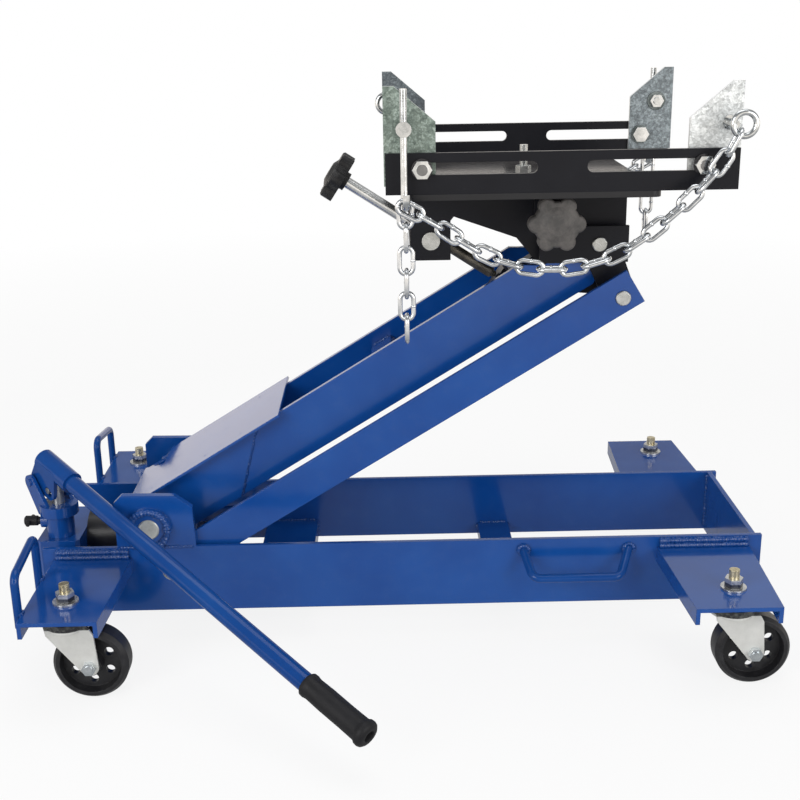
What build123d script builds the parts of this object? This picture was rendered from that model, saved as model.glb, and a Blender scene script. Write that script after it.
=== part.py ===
from build123d import *
import math
import os

os.makedirs("parts", exist_ok=True)

# Low-lift transmission jack on four casters. Millimetres, +Z up, origin on the floor at mid length,
# on the centre plane. +X is the saddle end, -Y is the near side, the pump stands at the -X end.

# ---- running clearances ----
FIT = 0.05          # radial play of a pin or shaft that turns
GAP = 0.3           # air between faces that slide past each other
THREAD_PLAY = 0.1   # radial play of a screw in its nut

# ---- chassis ----
RAIL_OUT = 112.0    # outer face of a side rail, from the centre plane
RAIL_T = 6.0
RAIL_Z0 = 46.0
RAIL_Z1 = 134.0
RAIL_X0 = -448.0
RAIL_X1 = 459.0
END_PLATE_X = 446.0
END_PLATE_T = 6.0
BRACE_X0 = 116.0
BRACE_W = 44.0
BRACE_H = 17.0
BRACE_T = 5.0
MEMBER_X0 = -187.0
MEMBER_W = 72.0
MEMBER_H = 26.0
MEMBER_T = 6.0
BASE_X0 = -446.0
BASE_X1 = -350.0
BASE_T = 6.0

# ---- wings that carry the casters ----
WING_TOP = 120.0
WING_T = 5.0
WING_DEPTH = 20.0
WING_TIP = 280.0
FRONT_TIP_X = (335.0, 435.0)
FRONT_ROOT_X = (326.5, 443.5)
REAR_TIP_X = (-435.0, -344.0)
REAR_ROOT_X = (-435.0, -337.0)
STEM_X = 391.0
STEM_Y = 229.0

# ---- casters ----
WHEEL_R = 44.5
WHEEL_W = 30.0
TRAIL = 25.0
STEM_R = 6.0
STEM_UP = 24.0              # stem above the wing
RACE_R = 30.0
RACE_T = 12.0       # both races of the swivel head, one over the other
HEAD_T = 7.0        # bottom head of the stem
FORK_T = 3.0
CROWN_T = 4.0
SKIRT = 8.0         # rolled edge below the fork's crown
AXLE_R = 5.0
AXLE_AF = 15.0
LEG_GAP = 2.5               # wheel to fork leg
HUB_R = 13.0
TYRE_R = 34.0
HOLE_PITCH_R = 23.5
HOLE_R = 5.5
HOLES = 6

# ---- grab handles ----
HOOP_R = 5.0
HOOP_Y = (256.0, 168.0)
HOOP_TOP = (166.0, 178.0)
HOOP_BEND = 12.0
GRAB_R = 5.5
GRAB_ROOT_X = (157.0, 291.0)
GRAB_GRIP_X = (166.0, 274.0)
GRAB_ROOT_Z = 120.0
GRAB_OUT = 150.0
GRAB_Z = 98.0

# ---- lift arm ----
SHAFT = (-312.0, 160.0)     # main shaft, X and Z
SHAFT_R = 13.5
ARM = 655.0                 # main shaft to saddle pin
ARM_REST = 31.3             # degrees above level
OFFSET = (25.0, -59.5)      # lower pins from upper pins
EAR_T = 9.0                 # pivot bracket on the rail
BOSS_OUT = 6.0
COLLAR_R = 20.0
ARM_Y = (55.0, 63.0)
ARM_UP = 28.0
ARM_DOWN = 40.0
ARM_NOSE = 20.0
DOUBLER_T = 3.0
HUB_TUBE_R = 25.0
COVER_T = 3.0
COVER_HALF = 84.0
COVER_A = (-22.0, 212.0)
TIE_A = 336.0
TIE_W = 30.0
TIE_TOP = 11.0
TIE_T = 5.0

# ---- lower links ----
LINK_Y = (96.0, 102.0)
LINK_UP = 27.0
LINK_DOWN = 17.0
LINK_PIN_R = 13.0
LINK_PIN_END = 2.5          # front pin past the link, inside the rails
LINK_NOSE = 20.0
PIN_SHOULDER = 5.0
RING_STEP = 2.5             # retaining ring past its pin

# ---- saddle head ----
HEAD_PIN_R = 9.0
HEAD_Y = (65.0, 71.0)
HEAD_HALF = 22.0
HEAD_X = (-72.0, 35.0)
HEAD_RELIEF = (-28.0, 5.0)   # slope that clears the roll screw when the saddle leans and pitches
WEB_HALF = 12.0
HEAD_HUB_R = 16.0
HEAD_HUB_HALF = 42.0
CRADLE_Y = (44.0, 50.0)
CRADLE_TOP = 56.0
CRADLE_LOW = -22.0
CRADLE_X = (-228.0, 35.0)
TRUNNION = (-202.0, 4.0)
TRUNNION_R = 13.0
TRUNNION_END_R = 9.0
SCREW_FOOT = (-118.0, -50.5)
SCREW_R = 7.0
SCREW_LENGTH = 238.0
PITCH_FOOT_GAP = 0.8
ROLL_Z = 58.0
ROLL_PIN_R = 8.0

# ---- saddle ----
TOP_Z = 71.0
TOP_T = 7.0
TOP_X = (-235.0, 49.0)
TOP_HALF = 175.0
TOP_CORNER_R = 10.0
LUG_T = 8.0                 # cradle ties and the lugs of the top plate beside them
LUG_GAP = 1.0
TIE_AT = (-152.0, 16.0)
CENTRE_BOLT = (-85.0, 5.0)  # place along X, and radius
SADDLE_RAIL_X = (-256.0, 132.0)
SADDLE_RAIL_H = 45.0
SADDLE_RAIL_T = 6.0
SLOT_IN = 27.0
SLOT_OUT = 161.0
SLOT_H = 13.5
SLOT_Z = 106.0
ROLL_SCREW_X = -62.0
ROLL_SCREW_Z = 37.0
ROLL_SCREW_R = 5.0
ROLL_FOOT_GAP = 1.3
ROLL_NUT_W = 22.0
ROLL_NUT_Y = (-108.0, -92.0)
ROLL_SCREW_END = -140.0
KNOB_R = 33.0
PITCH_KNOB_R = 32.0

# ---- corner brackets and chains ----
BRACKET_T = 5.0
BRACKET_W = 57.0
BRACKET_H = 107.0
BRACKET_LIFT = 8.7
BRACKET_BOLT = 41.5
BOLT_R = 6.0
NUT_AF = 19.0
CHAIN_Y = 197.0
CHAIN_SAG = ((-195.7, 44.7), (-141.7, 11.7), (-74.7, -3.3), (0.3, 13.7),
             (52.3, 51.7), (97.3, 97.7))   # from the saddle pin
WIRE_R = 2.6
LINK_PITCH = 25.6
LINK_BEND = 7.6
EYE_BOLT_R = 4.0
HOOK_BOLT_R = 5.0
HOOK_R = 4.0
HOOK_BEND = 10.0
HOOK_UP = 42.0              # hook rod above its boss
HOOK_TIP = 16.0
HOOK_FROM_PIN = -235.67
TAIL_FROM_HOOK = 1.0
EYE_RISE = 150.0            # chain eyes above the saddle pin
HOOK_RISE = 67.0
EYE_EDGE = 14.5             # eye from the outer edge of its corner plate
RING_OUT = 9.0
RING_R = 12.5
RING_WIRE = 3.4

# ---- hydraulic pump ----
CYL_Z = 104.5
CYL_R = 28.0
CYL_END = -268.0
TANK_R = 36.0
TANK_X = (-412.0, -340.0)
RAM_R = 14.0
PISTON_R = 19.6
LEVER_R = 60.0
LEVER_LEAN = 1.1            # lever pins ahead of the shaft
LEVER_Y = (38.0, 46.0)
LEVER_PIN_R = 7.0
PULL_Y = (47.5, 53.5)
PULL_LEN = 88.0
CROSS_PIN_R = 8.0
BARREL_X = -439.5
BARREL_IN = 62.0            # from the outer face of the near rail
BLOCK_MARGIN = 25.0         # block past the barrel's axis
BARREL_R = 17.5
BARREL_TOP = 172.0
BLOCK_X = (-466.0, -412.0)
BLOCK_FAR = 40.0
BLOCK_TOP = 128.0
VALVE_Z = 147.0
VALVE_OUT = 24.0
VALVE_R = 9.0
VALVE_STEM_R = 5.0
VALVE_KNOB_R = 6.5
VALVE_BAR_R = 2.8
VALVE_BAR = 14.0            # half length of the cross bar
HANDLE_TURN = -42.5         # heading of the handle, degrees from +X
HANDLE_DROP = 16.7          # degrees below level
FULCRUM_BACK = 30.0
FULCRUM_R = 5.0
EAR_GAP = 1.8               # socket cheek to the yoke's ear
FULCRUM_Z = 198.0
PLUNGER_PIN_Z = 192.0
PLUNGER_R = 8.0
SOCKET_R = 14.0
SOCKET_FRONT = (36.8, 208.0)
SOCKET_LEN = 63.0
TUBE_R = 11.0
TUBE_T = 2.2
TUBE_IN = 14.0              # tube's end from the back of the socket
GRIP_OVER = 60.0            # tube inside the grip
GRIP_R = 13.5
GRIP_AT = (438.0, 533.0)

# ---- worked out ----
RAIL_IN = RAIL_OUT - RAIL_T
tilt = math.radians(ARM_REST)
FX = SHAFT[0] + ARM * math.cos(tilt)
FZ = SHAFT[1] + ARM * math.sin(tilt)
LOWER = (SHAFT[0] + OFFSET[0], SHAFT[1] + OFFSET[1])
LEVER_PIN = (SHAFT[0] + LEVER_LEAN, SHAFT[1] - LEVER_R)
CROSS_X = LEVER_PIN[0] + PULL_LEN
BARREL = (BARREL_X, BARREL_IN - RAIL_OUT)
BLOCK_Y = (BARREL[1] - BLOCK_MARGIN, BLOCK_FAR)
SCREW_RUN = math.hypot(SCREW_FOOT[0] - TRUNNION[0], SCREW_FOOT[1] - TRUNNION[1])
SCREW_DIR = ((SCREW_FOOT[0] - TRUNNION[0]) / SCREW_RUN, (SCREW_FOOT[1] - TRUNNION[1]) / SCREW_RUN)
SCREW_BACK = SCREW_LENGTH - (SCREW_RUN - PITCH_FOOT_GAP)     # trunnion to the back end
SADDLE_MID = (SADDLE_RAIL_X[0] + SADDLE_RAIL_X[1]) / 2
RAIL_BOTTOM = TOP_Z + TOP_T
RAIL_INNER = TOP_HALF - SADDLE_RAIL_T
PLATE_Y = (-RAIL_INNER + GAP, -RAIL_INNER + GAP + BRACKET_T)
HOOK_X = FX + HOOK_FROM_PIN
TAIL_X = HOOK_X + TAIL_FROM_HOOK
EYE_Z = FZ + EYE_RISE
HOOK_LOW = FZ + HOOK_RISE
EYE_X = FX + SADDLE_MID + SLOT_OUT - BOLT_R - 1 + BRACKET_BOLT - EYE_EDGE
RING_X = EYE_X + RING_OUT


# ---------------------------------------------------------------- shapes

def block(x0, x1, y0, y1, z0, z1):
    """Box between two corners."""
    return Pos((x0 + x1) / 2, (y0 + y1) / 2, (z0 + z1) / 2) * Box(x1 - x0, y1 - y0, z1 - z0)


def bar_x(radius, x0, x1, y, z):
    """Round bar along X."""
    return Pos((x0 + x1) / 2, y, z) * Rot(0, 90, 0) * Cylinder(radius, x1 - x0)


def bar_y(radius, y0, y1, x, z):
    """Round bar along Y."""
    return Pos(x, (y0 + y1) / 2, z) * Rot(90, 0, 0) * Cylinder(radius, y1 - y0)


def bar_z(radius, z0, z1, x, y):
    """Round bar along Z."""
    return Pos(x, y, (z0 + z1) / 2) * Cylinder(radius, z1 - z0)


def standing(outline, y0, y1, at=(0.0, 0.0), turned=0.0):
    """Plate on edge along X and Z between two Y values, its outline drawn about a point and turned."""
    angle = math.radians(turned)
    plane = Plane(origin=(at[0], y1, at[1]), x_dir=(math.cos(angle), 0, math.sin(angle)), z_dir=(0, -1, 0))
    return extrude(plane * outline, y1 - y0, dir=(0, -1, 0))


def lying(outline, z0, z1):
    """Flat plate between two heights."""
    return extrude(Plane.XY.offset(z0) * outline, z1 - z0, dir=(0, 0, 1))


def facing(outline, x0, x1):
    """Plate across the jack between two X values, its outline drawn in Y and Z."""
    return extrude(Plane.YZ.offset(x0) * outline, x1 - x0, dir=(1, 0, 0))


def far(shape):
    """The same piece on the other side of the centre plane."""
    return mirror(shape, about=Plane.XZ)


def half_turned(shape):
    """The same piece turned half round about the upright through the middle of the saddle."""
    return Pos(FX + SADDLE_MID, 0, 0) * Rot(0, 0, 180) * Pos(-FX - SADDLE_MID, 0, 0) * shape


def bent_bar(radius, corners, bend):
    """Round bar along straight runs with bent corners."""
    path = FilletPolyline(*corners, radius=bend)
    start = Plane(origin=path @ 0, z_dir=path % 0)
    return sweep(start * Circle(radius), path=path)


def hexagon(across_flats, height):
    """Hexagon bolt head or nut blank, standing on its lower face."""
    return extrude(RegularPolygon(across_flats / math.sqrt(3), 6), height)


def tapped(nut, radius):
    return nut - Cylinder(radius, 100)


def along_y(shape, x, y, z, out=-1):
    """Turns a piece made along Z to point along -Y, or +Y."""
    return Pos(x, y, z) * Rot(90 if out < 0 else -90, 0, 0) * shape


def save(name, *shapes):
    solids = [solid for shape in shapes for solid in shape.solids()]
    export_step(Compound(label=name, children=solids), f"parts/{name}.step")


# ---------------------------------------------------------------- chassis

def side_rail():
    rail = standing(Polygon((RAIL_X0, RAIL_Z0), (RAIL_X1, RAIL_Z0), (RAIL_X1, RAIL_Z1), (RAIL_X0, RAIL_Z1),
                            align=None), -RAIL_OUT, -RAIL_IN)
    return rail - bar_y(LINK_PIN_R, -RAIL_OUT, -RAIL_IN, *LOWER)


def channel(x0, width, z0, height, wall, half):
    """Inverted channel across the jack."""
    outer = block(x0, x0 + width, -half, half, z0, z0 + height)
    return outer - block(x0 + wall, x0 + width - wall, -half, half, z0, z0 + height - wall)


def wing(root, tip):
    """Flat arm to a caster: a top plate with a folded lip along both long edges."""
    def trapezium(inset):
        return Polygon((root[0] + inset, -RAIL_OUT), (root[1] - inset, -RAIL_OUT),
                       (tip[1] - inset, -WING_TIP), (tip[0] + inset, -WING_TIP), align=None)
    shell = lying(trapezium(0), WING_TOP - WING_DEPTH, WING_TOP)
    shell -= lying(trapezium(WING_T), WING_TOP - WING_DEPTH, WING_TOP - WING_T)
    stem = STEM_X if root[0] > 0 else -STEM_X
    return shell - bar_z(STEM_R, WING_TOP - WING_T, WING_TOP, stem, -STEM_Y)


def hoop():
    """Bent bar on the rear edge of a rear wing."""
    x = REAR_TIP_X[0] - HOOP_R + 1.0
    low = WING_TOP - WING_DEPTH + 3.0
    bar = bent_bar(HOOP_R, [(x, -HOOP_Y[0], low), (x, -HOOP_Y[0], HOOP_TOP[0]),
                            (x, -HOOP_Y[1], HOOP_TOP[1]), (x, -HOOP_Y[1], low)], HOOP_BEND)
    return bar - block(REAR_TIP_X[0], REAR_TIP_X[1], -WING_TIP, -RAIL_OUT, WING_TOP - WING_DEPTH, WING_TOP)


def grab():
    """Carrying handle bent out from the face of a rail."""
    root_y = -RAIL_OUT + 2
    corners = [(GRAB_ROOT_X[0], root_y, GRAB_ROOT_Z), (GRAB_GRIP_X[0], -GRAB_OUT, GRAB_Z),
               (GRAB_GRIP_X[1], -GRAB_OUT, GRAB_Z), (GRAB_ROOT_X[1], root_y, GRAB_ROOT_Z)]
    bar = bent_bar(GRAB_R, corners, HOOP_BEND)
    return bar - block(RAIL_X0, RAIL_X1, -RAIL_OUT, 0, RAIL_Z0, RAIL_Z1)


def pivot_bracket():
    """Ear on top of a rail with the boss that holds the main shaft."""
    x, z = SHAFT
    outline = Polygon((x - 42, RAIL_Z1), (x + 57, RAIL_Z1), (x + 55, z + 27), (x + 34, z + 43),
                      (x - 32, z + 44), (x - 42, z + 34), align=None)
    ear = standing(outline, -RAIL_OUT, -RAIL_OUT + EAR_T)
    ear += bar_y(2 * SHAFT_R, -RAIL_OUT - BOSS_OUT, -RAIL_OUT, x, z)
    return ear - bar_y(SHAFT_R, -RAIL_OUT - BOSS_OUT, -RAIL_OUT + EAR_T, x, z)


def main_shaft():
    half = RAIL_OUT + BOSS_OUT + 1
    shaft = bar_y(SHAFT_R, -half, half, *SHAFT)
    shaft = chamfer(shaft.edges().filter_by(GeomType.CIRCLE), 1.5)
    inner = ARM_Y[1] + DOUBLER_T + 0.5
    outer = RAIL_OUT - EAR_T - 0.2
    collar = bar_y(COLLAR_R, -outer, -inner, *SHAFT) - bar_y(SHAFT_R, -outer, -inner, *SHAFT)
    return [shaft, collar, far(collar)]


def link_pin():
    """Stub axle of a lower link: welded through the rail, with a shoulder and a retaining ring."""
    x, z = LOWER
    pin = bar_y(LINK_PIN_R, -RAIL_OUT, -LINK_Y[0] + 3.5, x, z)
    shoulder = bar_y(LINK_PIN_R + PIN_SHOULDER, -RAIL_IN, -LINK_Y[1] - GAP, x, z)
    ring = bar_y(LINK_PIN_R + RING_STEP, -LINK_Y[0] + GAP, -LINK_Y[0] + 2.3, x, z)
    return pin + shoulder + ring


# ---------------------------------------------------------------- casters

def caster_stem(x, y):
    """Stem bolt with its nut, washer, bottom head and the fixed upper race."""
    base = WING_TOP - WING_T
    head_z = base - RACE_T - 2 * GAP - CROWN_T
    bolt = bar_z(STEM_R, head_z, WING_TOP + STEM_UP, x, y)
    bolt += bar_z(STEM_R + 5, head_z - HEAD_T, head_z, x, y)
    washer = bar_z(15, WING_TOP, WING_TOP + 2.5, x, y) - bar_z(STEM_R, WING_TOP, WING_TOP + 2.5, x, y)
    nut = Pos(x, y, WING_TOP + 2.5) * tapped(hexagon(NUT_AF, 11), STEM_R)
    race = Pos(x, y, base - RACE_T) * extrude(Circle(RACE_R), RACE_T)
    race = chamfer(race.edges().group_by(Axis.Z)[0], 2)
    race -= bar_z(STEM_R, base - RACE_T, base, x, y)
    return [bolt, washer, nut, race]


def caster_fork(x, y):
    """Pressed fork: a round crown on the race, two tapering legs and the axle bolt."""
    top = WING_TOP - WING_T - RACE_T - GAP
    crown_z = top - CROWN_T
    bottom = top - CROWN_T - SKIRT
    leg_in = WHEEL_W / 2 + LEG_GAP
    crown = bar_z(RACE_R, crown_z, top, x, y)
    crown += bar_z(RACE_R - 3, bottom, crown_z, x, y) - bar_z(RACE_R - 7, bottom, crown_z, x, y)
    shoulders = Polyline((-22, crown_z - 12), (-24, crown_z), (26, crown_z), (33, crown_z - 13))
    profile = make_hull([*(Pos(TRAIL, WHEEL_R) * Circle(11)).edges(), *shoulders.edges()])
    leg = standing(profile, y - leg_in - FORK_T, y - leg_in, at=(x, 0))
    legs = leg + mirror(leg, about=Plane(origin=(0, y, 0), z_dir=(0, 1, 0)))
    fork = crown + legs
    fork -= bar_z(STEM_R + FIT, bottom - 5, top, x, y)
    fork -= bar_y(AXLE_R, y - leg_in - FORK_T, y + leg_in + FORK_T, x + TRAIL, WHEEL_R)
    axle = bar_y(AXLE_R, y - leg_in - FORK_T - 7, y + leg_in + FORK_T + 7, x + TRAIL, WHEEL_R)
    head = along_y(tapped(hexagon(AXLE_AF, 6), AXLE_R), x + TRAIL, y - leg_in - FORK_T, WHEEL_R, -1)
    nut = along_y(tapped(hexagon(AXLE_AF, 6), AXLE_R), x + TRAIL, y + leg_in + FORK_T, WHEEL_R, 1)
    return [fork, axle, head, nut]


def caster_wheel(x, y):
    """Moulded wheel: tread, thin web with round holes, hub."""
    half = WHEEL_W / 2
    section = Polygon((AXLE_R + FIT, -half - 2), (HUB_R, -half - 2), (HUB_R + 1.5, -4), (TYRE_R, -4),
                      (TYRE_R + 2, -half), (WHEEL_R - 4, -half), (WHEEL_R, -half + 5), (WHEEL_R, half - 5),
                      (WHEEL_R - 4, half), (TYRE_R + 2, half), (TYRE_R, 4), (HUB_R + 1.5, 4),
                      (HUB_R, half + 2), (AXLE_R + FIT, half + 2), align=None)
    wheel = revolve(Plane.XZ * section, Axis.Z)
    for i in range(HOLES):
        wheel -= Rot(0, 0, i * 360 / HOLES + 30) * Pos(HOLE_PITCH_R, 0, 0) * Cylinder(HOLE_R, 20)
    return Pos(x + TRAIL, y, WHEEL_R) * Rot(90, 0, 0) * wheel


# ---------------------------------------------------------------- lift arm and links

def arm_plate():
    """Tapered side plate of the arm with its rear doubler."""
    slim = ARM - 95
    body = make_face(Polyline((0, ARM_UP), (slim, ARM_UP), (slim + 25, ARM_NOSE - 8), (ARM, ARM_NOSE - 8),
                              (ARM, -ARM_NOSE), (ARM - 30, -ARM_DOWN), (0, -ARM_DOWN), (0, ARM_UP)))
    round_end = Circle(ARM_DOWN) & Pos(0, ARM_UP) * Rectangle(2 * ARM_DOWN, ARM_DOWN + ARM_UP,
                                                               align=(Align.CENTER, Align.MAX))
    nose = Pos(ARM, 0) * Circle(ARM_NOSE)
    outline = body + round_end + nose
    plate = standing(outline, -ARM_Y[1], -ARM_Y[0], at=SHAFT, turned=ARM_REST)
    doubler = Polygon((0, ARM_UP), (175, ARM_UP), (106, -ARM_DOWN), (0, -ARM_DOWN), align=None) + round_end
    plate += standing(doubler, -ARM_Y[1] - DOUBLER_T, -ARM_Y[1], at=SHAFT, turned=ARM_REST)
    plate -= bar_y(SHAFT_R + FIT, -ARM_Y[1] - DOUBLER_T, -ARM_Y[0], *SHAFT)
    return plate - bar_y(HEAD_PIN_R + FIT, -ARM_Y[1], -ARM_Y[0], FX, FZ)


def arm_hub():
    """Tube on the main shaft with two levers and their pins, which the ram pulls."""
    inner = ARM_Y[0]
    hub = bar_y(HUB_TUBE_R, -inner, inner, *SHAFT)
    blade = make_hull([*Circle(HUB_TUBE_R).edges(), *(Pos(LEVER_LEAN, -LEVER_R) * Circle(13)).edges()])
    for side in (-1, 1):
        low, high = sorted((side * LEVER_Y[0], side * LEVER_Y[1]))
        hub += standing(blade, low, high, at=SHAFT)
        low, high = sorted((side * LEVER_Y[0], side * (PULL_Y[1] + 0.5)))
        hub += bar_y(LEVER_PIN_R, low, high, *LEVER_PIN)
    return hub - bar_y(SHAFT_R + FIT, -inner, inner, *SHAFT)


def arm_tie():
    """Channel between the arm plates."""
    inner = ARM_Y[0]
    outer = Pos(TIE_A + TIE_W / 2, TIE_TOP - TIE_W / 2) * Rectangle(TIE_W, TIE_W)
    hollow = Pos(TIE_A + TIE_W / 2, TIE_TOP - TIE_W / 2 - TIE_T) * Rectangle(TIE_W - 2 * TIE_T, TIE_W)
    return standing(outer - hollow, -inner, inner, at=SHAFT, turned=ARM_REST)


def arm_cover():
    """Flat sheet on top of the arm, cut back at its far rear corner."""
    half = COVER_HALF
    outline = Polygon((COVER_A[0], -half), (COVER_A[1], -half), (COVER_A[1], half), (17, half), (17, 22),
                      (COVER_A[0], 60), align=None)
    plane = Plane(origin=(SHAFT[0] - ARM_UP * math.sin(tilt), 0, SHAFT[1] + ARM_UP * math.cos(tilt)),
                  x_dir=(math.cos(tilt), 0, math.sin(tilt)), z_dir=(-math.sin(tilt), 0, math.cos(tilt)))
    return extrude(plane * outline, COVER_T, dir=(-math.sin(tilt), 0, math.cos(tilt)))


def lower_link():
    """Parallel link: rounded at the rear, cut square past the front pin."""
    length = ARM + LINK_NOSE
    outline = Polygon((0, -LINK_DOWN), (length, -LINK_DOWN), (length, LINK_UP), (0, LINK_UP), align=None)
    outline += Pos(0, (LINK_UP - LINK_DOWN) / 2) * Circle((LINK_UP + LINK_DOWN) / 2)
    link = standing(outline, -LINK_Y[1], -LINK_Y[0], at=LOWER, turned=ARM_REST)
    link -= bar_y(LINK_PIN_R + FIT, -LINK_Y[1], -LINK_Y[0], *LOWER)
    return link - bar_y(HEAD_PIN_R + FIT, -LINK_Y[1], -LINK_Y[0], FX + OFFSET[0], FZ + OFFSET[1])


# ---------------------------------------------------------------- saddle head

def on_screw(shape, along):
    """Places a piece made along Z on the pitch screw, at a distance past the trunnion."""
    x = FX + TRUNNION[0] + along * SCREW_DIR[0]
    z = FZ + TRUNNION[1] + along * SCREW_DIR[1]
    return Location(Plane(origin=(x, 0, z), x_dir=(0, 1, 0), z_dir=(SCREW_DIR[0], 0, SCREW_DIR[1]))) * shape


def head_plate():
    """Outer cheek of the head, from the saddle pin down to the lower link pin."""
    outline = Polygon((HEAD_X[0], -HEAD_HALF), (HEAD_X[1], -HEAD_HALF), (HEAD_X[1], HEAD_HALF),
                      (HEAD_RELIEF[0], HEAD_HALF), (HEAD_X[0], HEAD_RELIEF[1]), align=None)
    outline += make_hull([*(Pos(*OFFSET) * Circle(HEAD_HUB_R + 4)).edges(), *Circle(HEAD_HALF).edges()])
    plate = standing(outline, -HEAD_Y[1], -HEAD_Y[0], at=(FX, FZ))
    plate -= bar_y(HEAD_PIN_R, -HEAD_Y[1], -HEAD_Y[0], FX, FZ)
    return plate - bar_y(HEAD_PIN_R, -HEAD_Y[1], -HEAD_Y[0], FX + OFFSET[0], FZ + OFFSET[1])


def head_web():
    """Middle web between two hubs, with the tongue and pad that the pitch screw bears on."""
    tongue = make_hull([*Circle(HEAD_HUB_R).edges(), *(Pos(*OFFSET) * Circle(HEAD_HUB_R)).edges(),
                        *(Pos(SCREW_FOOT[0] + 8, SCREW_FOOT[1] - 6) * Circle(8)).edges()])
    web = standing(tongue, -WEB_HALF, WEB_HALF, at=(FX, FZ))
    keep_out = on_screw(Box(80, 60, 60, align=(Align.CENTER, Align.CENTER, Align.MAX)), SCREW_RUN)
    web -= keep_out
    web += on_screw(Box(34, 30, 9, align=(Align.CENTER, Align.CENTER, Align.MIN)), SCREW_RUN)
    for dx, dz in ((0, 0), OFFSET):
        web += bar_y(HEAD_HUB_R, -HEAD_HUB_HALF, HEAD_HUB_HALF, FX + dx, FZ + dz)
    for dx, dz in ((0, 0), OFFSET):
        web -= bar_y(HEAD_PIN_R, -HEAD_HUB_HALF, HEAD_HUB_HALF, FX + dx, FZ + dz)
    return web


def head_pins():
    upper = bar_y(HEAD_PIN_R, -HEAD_Y[1] - 3, HEAD_Y[1] + 3, FX, FZ)
    half = LINK_Y[1] + LINK_PIN_END
    lower = bar_y(HEAD_PIN_R, -half, half, FX + OFFSET[0], FZ + OFFSET[1])
    return [chamfer(pin.edges().filter_by(GeomType.CIRCLE), 1.0) for pin in (upper, lower)]


def cradle():
    """Fork of two notched side plates that rocks on the saddle pin, tied by the two roll-pin plates."""
    outline = Polygon((CRADLE_X[0], CRADLE_TOP), (CRADLE_X[0] + 2, -20), (-178, -20), (-178, 28),
                      (-174, 33), (-98, 6), (-75, CRADLE_LOW), (CRADLE_X[1], CRADLE_LOW),
                      (CRADLE_X[1], CRADLE_TOP), align=None)
    side = standing(outline, -CRADLE_Y[1], -CRADLE_Y[0], at=(FX, FZ))
    side -= bar_y(HEAD_PIN_R + FIT, -CRADLE_Y[1], -CRADLE_Y[0], FX, FZ)
    side -= bar_y(TRUNNION_END_R, -CRADLE_Y[1], -CRADLE_Y[0], FX + TRUNNION[0], FZ + TRUNNION[1])
    pad = block(FX + ROLL_SCREW_X - 15, FX + ROLL_SCREW_X + 15, -CRADLE_Y[1] - 3, -CRADLE_Y[1],
                FZ + ROLL_SCREW_Z - 15, FZ + ROLL_SCREW_Z + 15)
    half = CRADLE_Y[0]
    tie = Polygon((-half, 24), (half, 24), (half, CRADLE_TOP - 4), (24, CRADLE_TOP - 4), (10.5, ROLL_Z + 6),
                  (-10.5, ROLL_Z + 6), (-24, CRADLE_TOP - 4), (-half, CRADLE_TOP - 4), align=None)
    tie += Pos(0, ROLL_Z) * Circle(12.4)
    tie -= Pos(0, ROLL_Z) * Circle(ROLL_PIN_R)
    ties = [Pos(0, 0, FZ) * facing(tie, FX + x, FX + x + LUG_T) for x in TIE_AT]
    frame = side + pad + far(side)
    for piece in ties:
        frame += piece
    return frame


def cradle_pins():
    """Roll pin along X, and the trunnion block that the pitch screw threads through."""
    roll = bar_x(ROLL_PIN_R, FX + TIE_AT[0] - 5, FX + TIE_AT[1] + LUG_T + 5, 0, FZ + ROLL_Z)
    tx = FX + TRUNNION[0]
    tz = FZ + TRUNNION[1]
    trunnion = bar_y(TRUNNION_R, -CRADLE_Y[0], CRADLE_Y[0], tx, tz)
    trunnion += bar_y(TRUNNION_END_R, -CRADLE_Y[1], CRADLE_Y[1], tx, tz)
    for side in (-1, 1):
        low, high = sorted((side * CRADLE_Y[1], side * (CRADLE_Y[1] + 3.5)))
        trunnion += bar_y(TRUNNION_END_R + 2, low, high, tx, tz)
    trunnion -= on_screw(Cylinder(SCREW_R + THREAD_PLAY, 60), 0)
    return [roll, trunnion]


def pitch_screw():
    """Long screw with a domed foot."""
    foot = SCREW_RUN - PITCH_FOOT_GAP
    back = SCREW_BACK
    profile = make_face(Polyline((0, -back), (SCREW_R, -back), (SCREW_R, foot - 6), (SCREW_R - 2.5, foot - 5),
                                 (SCREW_R - 2.5, foot - 2), (2.0, foot), (0, foot), (0, -back)))
    return on_screw(revolve(Plane.XZ * profile, Axis.Z), 0)


def lobed_knob(radius, height, lobes, bore):
    """Star knob standing on its lower face: round lobes about a core, with a crowned top."""
    outline = Circle(radius * 0.80)
    for i in range(lobes):
        outline += Rot(0, 0, i * 360 / lobes) * Pos(radius * 0.70, 0) * Circle(radius * 0.30)
    knob = extrude(outline, height * 0.62)
    knob = chamfer(knob.edges().group_by(Axis.Z)[-1], height * 0.07)
    knob += Pos(0, 0, height * 0.62) * Cone(radius * 0.62, radius * 0.36, height * 0.16,
                                            align=(Align.CENTER, Align.CENTER, Align.MIN))
    knob += Pos(0, 0, -height * 0.22) * Cylinder(radius * 0.36, height * 0.22,
                                                  align=(Align.CENTER, Align.CENTER, Align.MIN))
    return knob - Cylinder(bore, height)


def pitch_knob():
    knob = lobed_knob(PITCH_KNOB_R, 26, 6, SCREW_R + FIT)
    return on_screw(Rot(180, 0, 0) * knob, -SCREW_BACK + 12)


# ---------------------------------------------------------------- saddle

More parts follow.
